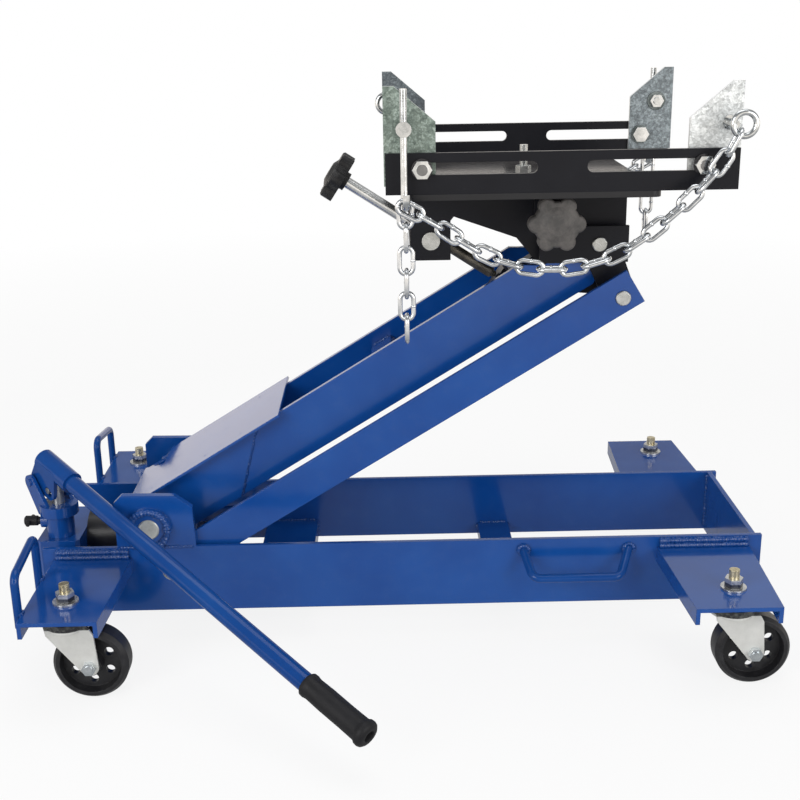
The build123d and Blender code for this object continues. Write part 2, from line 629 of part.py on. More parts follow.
def top_plate():
    centre = Pos((TOP_X[0] + TOP_X[1]) / 2, 0)
    outline = centre * RectangleRounded(TOP_X[1] - TOP_X[0], 2 * TOP_HALF, TOP_CORNER_R)
    plate = Pos(FX, 0, FZ) * lying(outline, TOP_Z, TOP_Z + TOP_T)
    lug = Polygon((-20, TOP_Z), (20, TOP_Z), (12, ROLL_Z), (-12, ROLL_Z), align=None)
    lug += Pos(0, ROLL_Z) * Circle(12)
    lug -= Pos(0, ROLL_Z) * Circle(ROLL_PIN_R + FIT)
    for x in (TIE_AT[0] + LUG_T + LUG_GAP, TIE_AT[1] - LUG_GAP - LUG_T):
        plate += Pos(0, 0, FZ) * facing(lug, FX + x, FX + x + LUG_T)
    x = FX + ROLL_SCREW_X
    half = ROLL_NUT_W / 2
    plate += block(x - half, x + half, *ROLL_NUT_Y, FZ + ROLL_SCREW_Z - half, FZ + TOP_Z)
    plate -= bar_y(ROLL_SCREW_R + THREAD_PLAY, *ROLL_NUT_Y, x, FZ + ROLL_SCREW_Z)
    return plate - bar_z(CENTRE_BOLT[1], FZ + TOP_Z, FZ + TOP_Z + TOP_T, FX + CENTRE_BOLT[0], 0)


def saddle_rail():
    mid = SADDLE_MID
    slot_mid = (SLOT_IN + SLOT_OUT) / 2
    outline = Polygon((SADDLE_RAIL_X[0], RAIL_BOTTOM), (SADDLE_RAIL_X[1], RAIL_BOTTOM),
                      (SADDLE_RAIL_X[1], RAIL_BOTTOM + SADDLE_RAIL_H),
                      (SADDLE_RAIL_X[0], RAIL_BOTTOM + SADDLE_RAIL_H), align=None)
    for side in (-1, 1):
        outline -= Pos(mid + side * slot_mid, SLOT_Z) * SlotOverall(SLOT_OUT - SLOT_IN, SLOT_H)
    return standing(outline, -TOP_HALF, -TOP_HALF + SADDLE_RAIL_T, at=(FX, FZ))


def centre_bolt():
    x = FX + CENTRE_BOLT[0]
    stud = bar_z(CENTRE_BOLT[1], FZ + TOP_Z, FZ + RAIL_BOTTOM + 34, x, 0)
    nut = Pos(x, 0, FZ + RAIL_BOTTOM) * tapped(hexagon(17, 9), CENTRE_BOLT[1])
    return [stud, nut]


def roll_screw():
    foot = -CRADLE_Y[1] - 3 - ROLL_FOOT_GAP
    x = FX + ROLL_SCREW_X
    z = FZ + ROLL_SCREW_Z
    screw = bar_y(ROLL_SCREW_R, ROLL_SCREW_END, foot - 4, x, z)
    screw += bar_y(ROLL_SCREW_R - 2, foot - 4, foot, x, z)
    return screw


def roll_knob():
    knob = lobed_knob(KNOB_R, 24, 6, ROLL_SCREW_R + FIT)
    return along_y(knob, FX + ROLL_SCREW_X, ROLL_SCREW_END + 9, FZ + ROLL_SCREW_Z, -1)


# ---------------------------------------------------------------- corner brackets and chains

def bracket_blade(x_out, sign, y0, y1):
    """Upright corner plate; sign points from its outer edge towards the middle of the saddle."""
    z0 = FZ + RAIL_BOTTOM + BRACKET_LIFT
    outline = Polygon((0, 0), (0, BRACKET_H), (sign * 12, BRACKET_H), (sign * BRACKET_W, BRACKET_H - 38),
                      (sign * BRACKET_W, 0), align=None)
    blade = standing(outline, y0, y1, at=(x_out, z0))
    return blade


def slot_bolt(x):
    """Bolt through a rail slot: head inside, washer and nut outside."""
    z = FZ + SLOT_Z
    outer = -TOP_HALF - GAP
    shank = bar_y(BOLT_R, outer - 12, PLATE_Y[1], x, z)
    head = along_y(hexagon(NUT_AF, 7.5), x, PLATE_Y[1], z, 1)
    washer = bar_y(11.5, outer - 2, outer, x, z) - bar_y(BOLT_R, outer - 2, outer, x, z)
    nut = along_y(tapped(hexagon(NUT_AF, 9), BOLT_R), x, outer - 2, z, -1)
    return [shank + head, washer, nut]


def near_front_bracket():
    """Corner plate whose threaded eye holds the fixed end of the chain."""
    bolt_x = FX + SADDLE_MID + SLOT_OUT - BOLT_R - 1
    x_out = bolt_x + BRACKET_BOLT
    blade = bracket_blade(x_out, -1, *PLATE_Y)
    blade -= bar_y(BOLT_R, *PLATE_Y, bolt_x, FZ + SLOT_Z)
    blade -= bar_y(EYE_BOLT_R, *PLATE_Y, EYE_X, EYE_Z)
    shank = bar_y(EYE_BOLT_R, -CHAIN_Y, PLATE_Y[1] + 10, EYE_X, EYE_Z)
    nut = along_y(tapped(hexagon(14, 6), EYE_BOLT_R), EYE_X, PLATE_Y[1], EYE_Z, 1)
    collar = bar_y(8, PLATE_Y[0] - 3, PLATE_Y[0], EYE_X, EYE_Z)
    collar -= bar_y(EYE_BOLT_R, PLATE_Y[0] - 3, PLATE_Y[0], EYE_X, EYE_Z)
    ring = Pos(RING_X, -CHAIN_Y, EYE_Z) * Rot(90, 0, 0) * Torus(RING_R, RING_WIRE)
    return [blade, shank + ring, nut, collar, *slot_bolt(bolt_x)]


def near_rear_bracket():
    """Corner plate whose boss holds the hook that the chain drops into."""
    bolt_x = FX + SADDLE_MID - SLOT_OUT + BOLT_R + 1
    x_out = bolt_x - BRACKET_BOLT
    blade = bracket_blade(x_out, 1, *PLATE_Y)
    blade -= bar_y(BOLT_R, *PLATE_Y, bolt_x, FZ + SLOT_Z)
    blade -= bar_y(HOOK_BOLT_R, *PLATE_Y, HOOK_X, EYE_Z)
    rod_y = -CHAIN_Y + HOOK_BEND
    boss = bar_y(8.5, rod_y - 7, -TOP_HALF - 1, HOOK_X, EYE_Z)
    boss += bar_y(HOOK_BOLT_R, -TOP_HALF - 1, PLATE_Y[1] + 10, HOOK_X, EYE_Z)
    boss -= bar_z(HOOK_R, EYE_Z - 20, EYE_Z + 20, HOOK_X, rod_y)
    nut = along_y(tapped(hexagon(16, 7), HOOK_BOLT_R), HOOK_X, PLATE_Y[1], EYE_Z, 1)
    tip_y = -CHAIN_Y - HOOK_BEND
    corners = [(HOOK_X, rod_y, EYE_Z + HOOK_UP), (HOOK_X, rod_y, HOOK_LOW),
               (HOOK_X + 2, tip_y, HOOK_LOW), (HOOK_X + 2, tip_y, HOOK_LOW + HOOK_TIP)]
    hook = bent_bar(HOOK_R, corners, HOOK_BEND * 0.95)
    return [blade, boss, nut, hook, *slot_bolt(bolt_x)]


def chain_link(pitch):
    """One welded link along X, lying in X and Y: hexagonal wire round two half circles."""
    half_run = pitch / 2 + WIRE_R + GAP / 2 - LINK_BEND
    wire = Pos(LINK_BEND, 0) * RegularPolygon(WIRE_R, 6)
    run = extrude(Plane.YZ.offset(-half_run) * wire, 2 * half_run)
    bend = revolve(Plane.YZ.offset(half_run) * wire, Axis((half_run, 0, 0), (0, 0, 1)), -180)
    return run + mirror(run, about=Plane.XZ) + bend + mirror(bend, about=Plane.YZ)


def chain_strand(path, count):
    """Links placed end to end along a path, each turned a quarter from the last."""
    pitch = path.length / count
    link = chain_link(pitch)
    strand = []
    for i in range(count):
        start = path.position_at(i / count)
        end = path.position_at((i + 1) / count)
        along = (end - start).normalized()
        flat = Vector(0, 1, 0) if i % 2 == 0 else Vector(0, 1, 0).cross(along)
        place = Plane(origin=(start + end) / 2, x_dir=along, z_dir=flat)
        strand.append(Location(place) * link)
    return strand


def even_count(path):
    return 2 * round(path.length / (2 * LINK_PITCH))


def near_chain(spare_links):
    """Chain from the eye ring, sagging to the hook, with its spare end hanging from the hook."""
    y = -CHAIN_Y
    beside = WIRE_R + GAP
    x = HOOK_X + 1
    sagging = [(FX + dx, y, FZ + dz) for dx, dz in CHAIN_SAG]
    sag = Spline((x - 5.6, y - beside, HOOK_LOW + 3.2), *sagging, (RING_X - 4.5, y, EYE_Z - 7.9))
    top = HOOK_LOW + 6.0
    spare = Line((TAIL_X, y + beside, top), (TAIL_X, y + beside, top - spare_links * LINK_PITCH))
    return chain_strand(sag, even_count(sag)) + chain_strand(spare, spare_links)


# ---------------------------------------------------------------- hydraulic pump and ram

def on_pump(shape):
    """Places a piece drawn with its X along the handle and its origin under the pump barrel."""
    return Pos(BARREL[0], BARREL[1], 0) * Rot(0, 0, HANDLE_TURN) * shape


def pump_block():
    body = block(*BLOCK_X, *BLOCK_Y, RAIL_Z0 + BASE_T, BLOCK_TOP)
    return chamfer(body.edges().filter_by(Axis.Z), 5)


def reservoir():
    tank = bar_x(TANK_R, *TANK_X, 0, CYL_Z)
    tank = fillet(tank.edges().filter_by(GeomType.CIRCLE).group_by(Axis.X)[-1], 5)
    return tank - bar_x(CYL_R, *TANK_X, 0, CYL_Z)


def lift_cylinder():
    barrel = bar_x(CYL_R, TANK_X[0], CYL_END, 0, CYL_Z)
    barrel = chamfer(barrel.edges().group_by(Axis.X)[-1], 2)
    barrel -= bar_x(PISTON_R + 0.4, TANK_X[0] + 12, CYL_END - 8, 0, CYL_Z)
    return barrel - bar_x(RAM_R + FIT, CYL_END - 8, CYL_END, 0, CYL_Z)


def pump_barrel():
    x, y = BARREL
    barrel = bar_z(BARREL_R, BLOCK_TOP, BARREL_TOP, x, y)
    barrel += bar_x(VALVE_R, x - VALVE_OUT, x - 10, y, VALVE_Z)
    barrel -= bar_z(PLUNGER_R + FIT, BLOCK_TOP + 12, BARREL_TOP, x, y)
    return barrel - bar_x(VALVE_STEM_R + FIT, x - VALVE_OUT, x - 15, y, VALVE_Z)


def fulcrum_yoke():
    """Collar round the barrel with two ears and the pin that the handle rocks on."""
    low = BARREL_TOP - 14
    collar = bar_z(BARREL_R + 7, low, BARREL_TOP, 0, 0)
    ear = make_hull([*(Pos(-FULCRUM_BACK, FULCRUM_Z) * Circle(10)).edges(),
                     *Polyline((-16, low), (4, low), (4, BARREL_TOP), (-16, BARREL_TOP), (-16, low)).edges()])
    inner = SOCKET_R + EAR_GAP
    plate = standing(ear, -inner - 5, -inner)
    yoke = collar + plate + far(plate)
    yoke -= bar_z(BARREL_R, low, BARREL_TOP, 0, 0)
    yoke -= bar_y(FULCRUM_R, -inner - 5, inner + 5, -FULCRUM_BACK, FULCRUM_Z)
    pin = bar_y(FULCRUM_R, -inner - 7, inner + 7, -FULCRUM_BACK, FULCRUM_Z)
    return [on_pump(yoke), on_pump(pin)]


def plunger():
    rod = bar_z(PLUNGER_R, BLOCK_TOP + 14, PLUNGER_PIN_Z + 7, 0, 0)
    rod += bar_y(4, -SOCKET_R - 0.5, SOCKET_R + 0.5, 0, PLUNGER_PIN_Z)
    return on_pump(rod)


def on_handle(shape):
    """Places a piece made along +X from the front end of the handle socket."""
    return on_pump(Pos(SOCKET_FRONT[0], 0, SOCKET_FRONT[1]) * Rot(0, HANDLE_DROP, 0) * shape)


def handle_socket():
    """Tube for the handle, with two cheeks below it: a round hole for the fulcrum, a slot for the plunger."""
    cheek = make_hull([*(Pos(-FULCRUM_BACK, FULCRUM_Z) * Circle(9)).edges(),
                       *(Pos(4, FULCRUM_Z - 9) * Circle(9)).edges(),
                       *(Pos(-18, 222) * Circle(6)).edges(), *(Pos(12, 214) * Circle(6)).edges()])
    slot = make_hull([*(Pos(-0.4, PLUNGER_PIN_Z + 0.1) * Circle(4.9)).edges(),
                      *(Pos(3.8, PLUNGER_PIN_Z - 3.0) * Circle(4.9)).edges()])
    cheeks = standing(cheek, -SOCKET_R, SOCKET_R)
    cheeks -= block(-60, 60, -9, 9, 170, 230)
    cheeks -= standing(slot, -SOCKET_R, SOCKET_R)
    cheeks -= bar_y(FULCRUM_R + FIT, -SOCKET_R, SOCKET_R, -FULCRUM_BACK, FULCRUM_Z)
    tube = on_handle(bar_x(SOCKET_R, -SOCKET_LEN, 0, 0, 0))
    socket = on_pump(cheeks) + tube
    return socket - on_handle(bar_x(TUBE_R, -SOCKET_LEN + TUBE_IN - 2, 0, 0, 0))


def handle_tube():
    ends = (-SOCKET_LEN + TUBE_IN, GRIP_AT[0] + GRIP_OVER)
    return on_handle(bar_x(TUBE_R, *ends, 0, 0) - bar_x(TUBE_R - TUBE_T, *ends, 0, 0))


def handle_grip():
    start, end = GRIP_AT
    profile = make_face(Polyline((start, 0), (start, GRIP_R + 2), (start + 6, GRIP_R + 2),
                                 (start + 9, GRIP_R - 0.5), (start + 30, GRIP_R + 0.5), (end - 12, GRIP_R),
                                 (end - 9, GRIP_R + 2.5), (end - 3, GRIP_R + 2), (end, GRIP_R - 3),
                                 (end, 0), (start, 0)))
    grip = revolve(Plane.XZ * profile, Axis.X)
    return on_handle(grip - bar_x(TUBE_R, start - 1, start + GRIP_OVER, 0, 0))


def release_valve():
    """Small T-handled screw in the side of the barrel."""
    x = BARREL[0] - VALVE_OUT
    stem = bar_x(VALVE_STEM_R, x - 4, x + 6, BARREL[1], VALVE_Z)
    knob = bar_x(VALVE_KNOB_R, x - 22, x - 4, BARREL[1], VALVE_Z)
    knob = chamfer(knob.edges().filter_by(GeomType.CIRCLE), 1.5)
    return stem + knob + bar_y(VALVE_BAR_R, BARREL[1] - VALVE_BAR, BARREL[1] + VALVE_BAR, x - 15, VALVE_Z)


def ram_rod():
    rod = bar_x(RAM_R, CYL_END - 84, CROSS_X - 8, 0, CYL_Z)
    return rod + bar_x(PISTON_R, CYL_END - 84, CYL_END - 72, 0, CYL_Z)


def ram_crosshead():
    body = block(CROSS_X - 8, CROSS_X + 11, -30, 30, CYL_Z - 13, CYL_Z + 13)
    body = chamfer(body.edges().filter_by(Axis.Y), 3)
    return body + bar_y(CROSS_PIN_R, -PULL_Y[1] - 0.6, PULL_Y[1] + 0.6, CROSS_X, CYL_Z)


def pull_link():
    """Link from a lever pin to the crosshead; its slot lets the crosshead run straight."""
    slot_w = 2 * CROSS_PIN_R + 1.8
    slot_h = 2 * CROSS_PIN_R + 9.6
    eye = Polyline((PULL_LEN - 15, -19), (PULL_LEN + 15, -19), (PULL_LEN + 15, 19), (PULL_LEN - 15, 19),
                   (PULL_LEN - 15, -19))
    outline = make_hull([*Circle(12).edges(), *eye.edges()])
    outline -= Pos(PULL_LEN, 0) * Rectangle(slot_w, slot_h)
    outline -= Circle(LEVER_PIN_R + FIT)
    return standing(outline, -PULL_Y[1], -PULL_Y[0], at=LEVER_PIN)


# ---------------------------------------------------------------- the nodes

save("side_rail_near", side_rail())
save("side_rail_far", far(side_rail()))
save("front_cross_plate", block(END_PLATE_X, END_PLATE_X + END_PLATE_T, -RAIL_IN, RAIL_IN, RAIL_Z0, RAIL_Z1))
save("cross_brace", channel(BRACE_X0, BRACE_W, RAIL_Z0, BRACE_H, BRACE_T, RAIL_IN))
save("mid_cross_member", channel(MEMBER_X0, MEMBER_W, RAIL_Z0, MEMBER_H, MEMBER_T, RAIL_IN))
save("rear_base_plate", block(BASE_X0, BASE_X1, -RAIL_IN, RAIL_IN, RAIL_Z0, RAIL_Z0 + BASE_T))

pairs = {"front_wings": wing(FRONT_ROOT_X, FRONT_TIP_X), "rear_wings": wing(REAR_ROOT_X, REAR_TIP_X),
         "hoop_handles": hoop(), "side_handles": grab(), "pivot_brackets": pivot_bracket(),
         "link_pins": link_pin(), "lower_links": lower_link(), "pull_links": pull_link()}
for name, piece in pairs.items():
    save(name, piece, far(piece))
save("main_shaft", *main_shaft())

corners = {"front_near": (STEM_X, -STEM_Y), "front_far": (STEM_X, STEM_Y),
           "rear_near": (-STEM_X, -STEM_Y), "rear_far": (-STEM_X, STEM_Y)}
save("caster_stems", *[piece for x, y in corners.values() for piece in caster_stem(x, y)])
for name, (x, y) in corners.items():
    save(f"caster_fork_{name}", *caster_fork(x, y))
    save(f"caster_wheel_{name}", caster_wheel(x, y))

save("pump_block", pump_block())
save("reservoir", reservoir())
save("lift_cylinder", lift_cylinder())
save("pump_barrel", pump_barrel())
save("fulcrum_yoke", *fulcrum_yoke())
save("pump_plunger", plunger())
save("handle_socket", handle_socket())
save("handle_tube", handle_tube())
save("handle_grip", handle_grip())
save("release_valve", release_valve())
save("ram_rod", ram_rod())
save("ram_crosshead", ram_crosshead())

save("arm_plate_near", arm_plate())
save("arm_plate_far", far(arm_plate()))
save("arm_hub", arm_hub())
save("arm_cross_piece", arm_tie())
save("arm_cover", arm_cover())

save("head_bracket", head_web(), head_plate(), far(head_plate()))
save("head_pins", *head_pins())
save("cradle", cradle())
save("cradle_pins", *cradle_pins())
save("pitch_screw", pitch_screw())
save("pitch_knob", pitch_knob())

save("top_plate", top_plate())
save("saddle_rail_near", saddle_rail())
save("saddle_rail_far", far(saddle_rail()))
save("centre_bolt", *centre_bolt())
save("roll_screw", roll_screw())
save("roll_knob", roll_knob())

save("corner_bracket_front_near", *near_front_bracket())
save("corner_bracket_rear_near", *near_rear_bracket())
save("corner_bracket_rear_far", *[half_turned(piece) for piece in near_front_bracket()])
save("corner_bracket_front_far", *[half_turned(piece) for piece in near_rear_bracket()])
save("chain_near", *near_chain(6))
save("chain_far", *[half_turned(link) for link in near_chain(4)])
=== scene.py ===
"""Finishes, chains, welds, threads, washers, grip and studio for a low-lift transmission jack."""

import math

import bmesh
import bpy
from mathutils import Matrix, Vector


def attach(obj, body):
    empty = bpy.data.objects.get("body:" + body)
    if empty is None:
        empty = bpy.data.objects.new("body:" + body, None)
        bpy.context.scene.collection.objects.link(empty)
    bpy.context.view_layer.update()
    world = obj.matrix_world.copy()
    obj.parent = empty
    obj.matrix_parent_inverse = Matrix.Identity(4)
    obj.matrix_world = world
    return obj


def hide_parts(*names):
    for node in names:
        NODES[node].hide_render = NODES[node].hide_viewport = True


bl_info = {
    "name": "Transmission Jack",
    "version": (1, 0, 0),
    "blender": (4, 5, 0),
    "location": "View3D > Sidebar > Jack",
    "description": "Paints a transmission jack and adds its chains, welds, grip and studio",
    "category": "Object",
}

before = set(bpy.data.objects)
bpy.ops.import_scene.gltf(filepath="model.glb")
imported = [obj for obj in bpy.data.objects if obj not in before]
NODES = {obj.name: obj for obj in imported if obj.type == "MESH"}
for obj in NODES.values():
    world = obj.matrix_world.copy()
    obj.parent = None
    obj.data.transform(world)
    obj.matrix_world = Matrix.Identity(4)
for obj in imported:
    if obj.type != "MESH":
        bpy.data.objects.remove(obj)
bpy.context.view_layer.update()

# Places and sizes on the frame, in metres: X along the jack, Y across it, Z up.
RAIL_OUT = 0.112                # faces of a side rail, from the centre plane
RAIL_IN = 0.106
RAIL_TOP = 0.134
RAIL_LOW = 0.046
WING_TOP = 0.120                # faces of the caster wings
WING_LOW = 0.1152
WING_ROOTS = ((0.3265, 0.4435), (-0.435, -0.337))
WING_PASSES = ((0.0012, 0.0024), (0.0000, 0.0086))      # out of the rail's face, and up from the wing
CROSS_MEMBERS = ((0.116, 0.160, 0.017), (-0.187, -0.115, 0.026))    # both ends along X, and height
FRONT_PLATE_X = 0.446
BASE_PLATE_X = (-0.440, -0.356)
SHAFT = Vector((-0.312, 0.0, 0.160))
EAR_X = (SHAFT.x - 0.042, SHAFT.x + 0.057)
BOSS_OUT = 0.006
BOSS_RING = 0.0235
GRAB_ROOTS = (0.1575, 0.2905)   # carrying handles
GRAB_Z = 0.1197
GRAB_RING = 0.0062
HOOP_X = -0.439
HOOP_ROOTS = (0.256, 0.168)
SEAM_INSET = 0.004

ARM_TILT = math.radians(31.3)
ARM_IN = 0.055
ARM_OUT = 0.063
ARM_UP = 0.028                  # arm plate's edge above its centre line
DOUBLER_EDGE = ((0.175, ARM_UP), (0.106, -0.040))       # along the arm, and up
CROSS_PIECE = (0.336, 0.366, -0.018, 0.009)             # both ends along the arm, low and high
COVER_RUN = (0.004, 0.200)

STEM = (0.391, 0.229)           # caster stems
NUT_TOP = 0.0136                # wing nuts, above the wing
# nut flank band above the wing, painted dark as painted shade and reflection
NUT_PAINTED_SHADE = (0.0026, 0.0082)
FORK_HALF = 0.0206
AXLE_TOP = 0.070
CROWN_BAND = (0.0935, 0.1040)
GREASED = (0.056, 0.066)        # where the pitch screw turns dark, along X

TRUNNION = Vector((0.04567, 0.0, 0.50428))
SCREW_DROP = Vector((0.8389, 0.0, -0.5443))             # direction of the pitch screw
SCREW_BEHIND = 0.028            # its thread starts this far behind the trunnion
ROLL_SCREW = (0.18567, -0.128, 0.53728)
SADDLE_MID = 0.18567
HOOK_ROD = Vector((0.0120, -0.187, 0.6605))
BLADE_IN = 0.1634               # corner plates, from the centre plane
BLADE_OUT = 0.1690
PLATE_FACE = 0.1637
SLOT_BOLT = 0.154               # slot bolts, from the saddle's middle
SLOT_Z = 0.6063
SLOT_WASHER = (0.0130, 0.1751, 0.1774)                  # half width, inner and outer face
SLOT_TIP = (0.0060, 0.1864)     # half width, inner end
EYE = (0.18100, 0.65029)        # from the saddle's middle, and height
HOOK = (0.17367, 0.65029)

GRIP_TURN = math.radians(-42.5)
GRIP_DROP = math.radians(16.7)
GRIP_ORIGIN = Vector((-0.4395, -0.050, 0.0))
SOCKET_FRONT = Vector((0.0368, 0.0, 0.208))
GRIP_FROM = 0.438
GRIP_TO = 0.533
GRIP_BORE = 0.060
SLEEVE_R = 0.0111

BLUE_PARTS = [
    "side_rail_near", "side_rail_far", "front_cross_plate", "cross_brace", "mid_cross_member",
    "rear_base_plate", "front_wings", "rear_wings", "pivot_brackets", "pump_block", "pump_barrel",
    "fulcrum_yoke", "arm_plate_near", "arm_plate_far", "arm_hub", "arm_cross_piece", "lower_links",
    "lift_cylinder", "pull_links", "ram_crosshead",
]
SADDLE_BLACK = ["head_bracket", "cradle", "saddle_rail_near", "saddle_rail_far"]
CORNERS = ["front_near", "front_far", "rear_near", "rear_far"]
TURNED_STEEL = [
    "link_pins", "head_pins", "cradle_pins", "roll_screw", "centre_bolt", "pump_plunger", "ram_rod",
]


# ---------------------------------------------------------------- node makers

class Signal:
    """A node's output that takes part in arithmetic."""

    def __init__(self, maker, socket):
        self.maker = maker
        self.socket = socket

    def _math(self, operation, first, second=0.0):
        return self.maker.node("ShaderNodeMath", {"operation": operation}, first, second)

    def __add__(self, other):
        return self._math("ADD", self, other)

    __radd__ = __add__

    def __sub__(self, other):
        return self._math("SUBTRACT", self, other)

    def __rsub__(self, other):
        return self._math("SUBTRACT", other, self)

    def __mul__(self, other):
        return self._math("MULTIPLY", self, other)

    __rmul__ = __mul__

    def __truediv__(self, other):
        return self._math("DIVIDE", self, other)

    def __gt__(self, other):
        return self._math("GREATER_THAN", self, other)

    def __lt__(self, other):
        return self._math("LESS_THAN", self, other)

    def __abs__(self):
        return self._math("ABSOLUTE", self)

    def sine(self):
        return self._math("SINE", self)

    def clamped(self):
        return self._math("MINIMUM", self._math("MAXIMUM", self, 0.0), 1.0)


class Maker:
    """Adds nodes to a tree: settings first, then the values or links of its sockets."""

    def __init__(self, tree):
        self.tree = tree

    def feed(self, socket, value):
        if isinstance(value, Signal):
            self.tree.links.new(value.socket, socket)
        else:
            socket.default_value = value

    def node(self, kind, settings=None, *values, output=0, **named):
        node = self.tree.nodes.new(kind)
        for key, value in (settings or {}).items():
            if key == "stops":
                ramp = node.color_ramp
                while len(ramp.elements) < len(value):
                    ramp.elements.new(0.5)
                for element, (place, colour) in zip(ramp.elements, value):
                    element.position = place
                    element.color = (*colour, 1.0)
            else:
                setattr(node, key, value)
        sockets = [s for s in node.inputs if s.enabled]
        for socket, value in zip(sockets, values):
            self.feed(socket, value)
        for name, value in named.items():
            wanted = name.replace("_", " ")
            self.feed(next(s for s in sockets if s.name == wanted), value)
        enabled = [s for s in node.outputs if s.enabled]
        picked = enabled[output] if isinstance(output, int) else node.outputs[output]
        return Signal(self, picked)

    def spread(self, value, low, high):
        """0 at low, 1 at high, straight between them and level beyond."""
        return self.node("ShaderNodeMapRange", {"clamp": True}, value, low, high, 0.0, 1.0)

    def end(self, kind, result):
        """Sends the result to a new output node."""
        self.tree.links.new(result.socket, self.tree.nodes.new(kind).inputs[0])


class Finish(Maker):
    """A material: one Principled shader and the nodes that vary over the surface."""

    def __init__(self, name, **constants):
        self.material = bpy.data.materials.new(name)
        self.material.use_nodes = True
        super().__init__(self.material.node_tree)
        self.tree.nodes.clear()
        shader = self.node("ShaderNodeBsdfPrincipled", output="BSDF")
        self.shader = shader.socket.node
        self.end("ShaderNodeOutputMaterial", shader)
        for key, value in constants.items():
            self.shader.inputs[key.replace("_", " ")].default_value = value
        self.place = self.node("ShaderNodeTexCoord", output="Object")

    def noise(self, scale, detail=2.0, roughness=0.5):
        return self.node("ShaderNodeTexNoise", {}, Vector=self.place, Scale=scale, Detail=detail,
                         Roughness=roughness)

    def grains(self, scale):
        """A random value for each grain."""
        cells = self.node("ShaderNodeTexVoronoi", {}, Vector=self.place, Scale=scale, Randomness=1.0,
                          output="Color")
        return self.node("ShaderNodeSeparateColor", {}, cells)

    def patches(self, scale, detail, roughness, low, high):
        """Noise, spread between low and high."""
        return self.spread(self.noise(scale, detail, roughness), low, high)

    def mix(self, factor, first, second):
        node = self.tree.nodes.new("ShaderNodeMix")
        node.data_type = "RGBA"
        self.feed(node.inputs[0], factor)
        for socket, value in ((node.inputs[6], first), (node.inputs[7], second)):
            self.feed(socket, value if isinstance(value, Signal) else (*value, 1.0))
        return Signal(self, node.outputs[2])

    def ramp(self, value, *stops):
        return self.node("ShaderNodeValToRGB", {"stops": stops}, value)

    def heights(self):
        return [self.node("ShaderNodeSeparateXYZ", {}, self.place, output=i) for i in range(3)]

    def facing(self, axis):
        """The surface normal's part along an axis."""
        normal = self.node("ShaderNodeTexCoord", output="Normal")
        return self.node("ShaderNodeSeparateXYZ", {}, normal, output=axis)

    def surface(self, height, strength, distance, edge=0.0):
        """Bump over the surface, with edges eased by a small radius."""
        eased = self.node("ShaderNodeBevel", {"samples": 4}, edge) if edge else None
        bump = self.node("ShaderNodeBump", {}, Strength=strength, Distance=distance, Height=height)
        if eased:
            self.tree.links.new(eased.socket, bump.socket.node.inputs["Normal"])
        self.tree.links.new(bump.socket, self.shader.inputs["Normal"])

    def set(self, **signals):
        for key, value in signals.items():
            self.tree.links.new(value.socket, self.shader.inputs[key.replace("_", " ")])
        return self.material


class Recipe(Maker):
    """A geometry node tree with named inputs, which ends in Realize Instances and Set Material."""

    KINDS = {float: "NodeSocketFloat", int: "NodeSocketInt"}

    def __init__(self, name, **inputs):
        super().__init__(bpy.data.node_groups.new(name, "GeometryNodeTree"))
        face = self.tree.interface
        face.new_socket("Geometry", in_out="INPUT", socket_type="NodeSocketGeometry")
        face.new_socket("Geometry", in_out="OUTPUT", socket_type="NodeSocketGeometry")
        for title, default in inputs.items():
            kind = self.KINDS[type(default)]
            socket = face.new_socket(title.replace("_", " "), in_out="INPUT", socket_type=kind)
            socket.default_value = default
        face.new_socket("Finish", in_out="INPUT", socket_type="NodeSocketMaterial")
        entry = self.tree.nodes.new("NodeGroupInput")
        self.inputs = {s.name: Signal(self, s) for s in entry.outputs if s.name}

    def __getitem__(self, name):
        return self.inputs[name]

    def vector(self, name):
        """A vector kept on the points of the seed mesh."""
        return self.node("GeometryNodeInputNamedAttribute", {"data_type": "FLOAT_VECTOR"}, name)

    def on_points(self, shape, turn):
        """The shape on every point of the seed mesh."""
        return self.node("GeometryNodeInstanceOnPoints", {}, Points=self["Geometry"], Instance=shape,
                         Rotation=turn)

    def close(self, shape, smooth=True):
        if smooth:
            shape = self.node("GeometryNodeSetShadeSmooth", {}, shape)
        real = self.node("GeometryNodeRealizeInstances", {}, shape)
        finished = self.node("GeometryNodeSetMaterial", {}, Geometry=real, Material=self["Finish"])
        self.end("NodeGroupOutput", finished)

    def grow(self, name, seed, material, **values):
        """A plain mesh object made by this tree from a seed mesh."""
        source = placed(name + "_seed", seed)
        modifier = source.modifiers.new("Recipe", "NODES")
        modifier.node_group = self.tree
        values = {key.replace("_", " "): value for key, value in values.items()}
        values["Finish"] = material
        for item in self.tree.interface.items_tree:
            if item.in_out == "INPUT" and item.name in values:
                modifier[item.identifier] = values[item.name]
        graph = bpy.context.evaluated_depsgraph_get()
        made = bpy.data.meshes.new_from_object(source.evaluated_get(graph))
        bpy.data.objects.remove(source)
        made.name = name
        return placed(name, made)


def placed(name, data, material=None):
    """A new object in the scene, unmoved, with one material if it is given."""
    piece = bpy.data.objects.new(name, data)
    bpy.context.scene.collection.objects.link(piece)
    if material is not None:
        data.materials.clear()
        data.materials.append(material)
    return piece


def seed_points(points, **vectors):
    """A mesh of loose points, with a vector for each point under every given name."""
    mesh = bpy.data.meshes.new("seed_points")
    mesh.from_pydata([tuple(point) for point in points], [], [])
    for name, values in vectors.items():
        attribute = mesh.attributes.new(name, "FLOAT_VECTOR", "POINT")
        attribute.data.foreach_set("vector", [c for value in values for c in value])
    return mesh


# ---------------------------------------------------------------- finishes

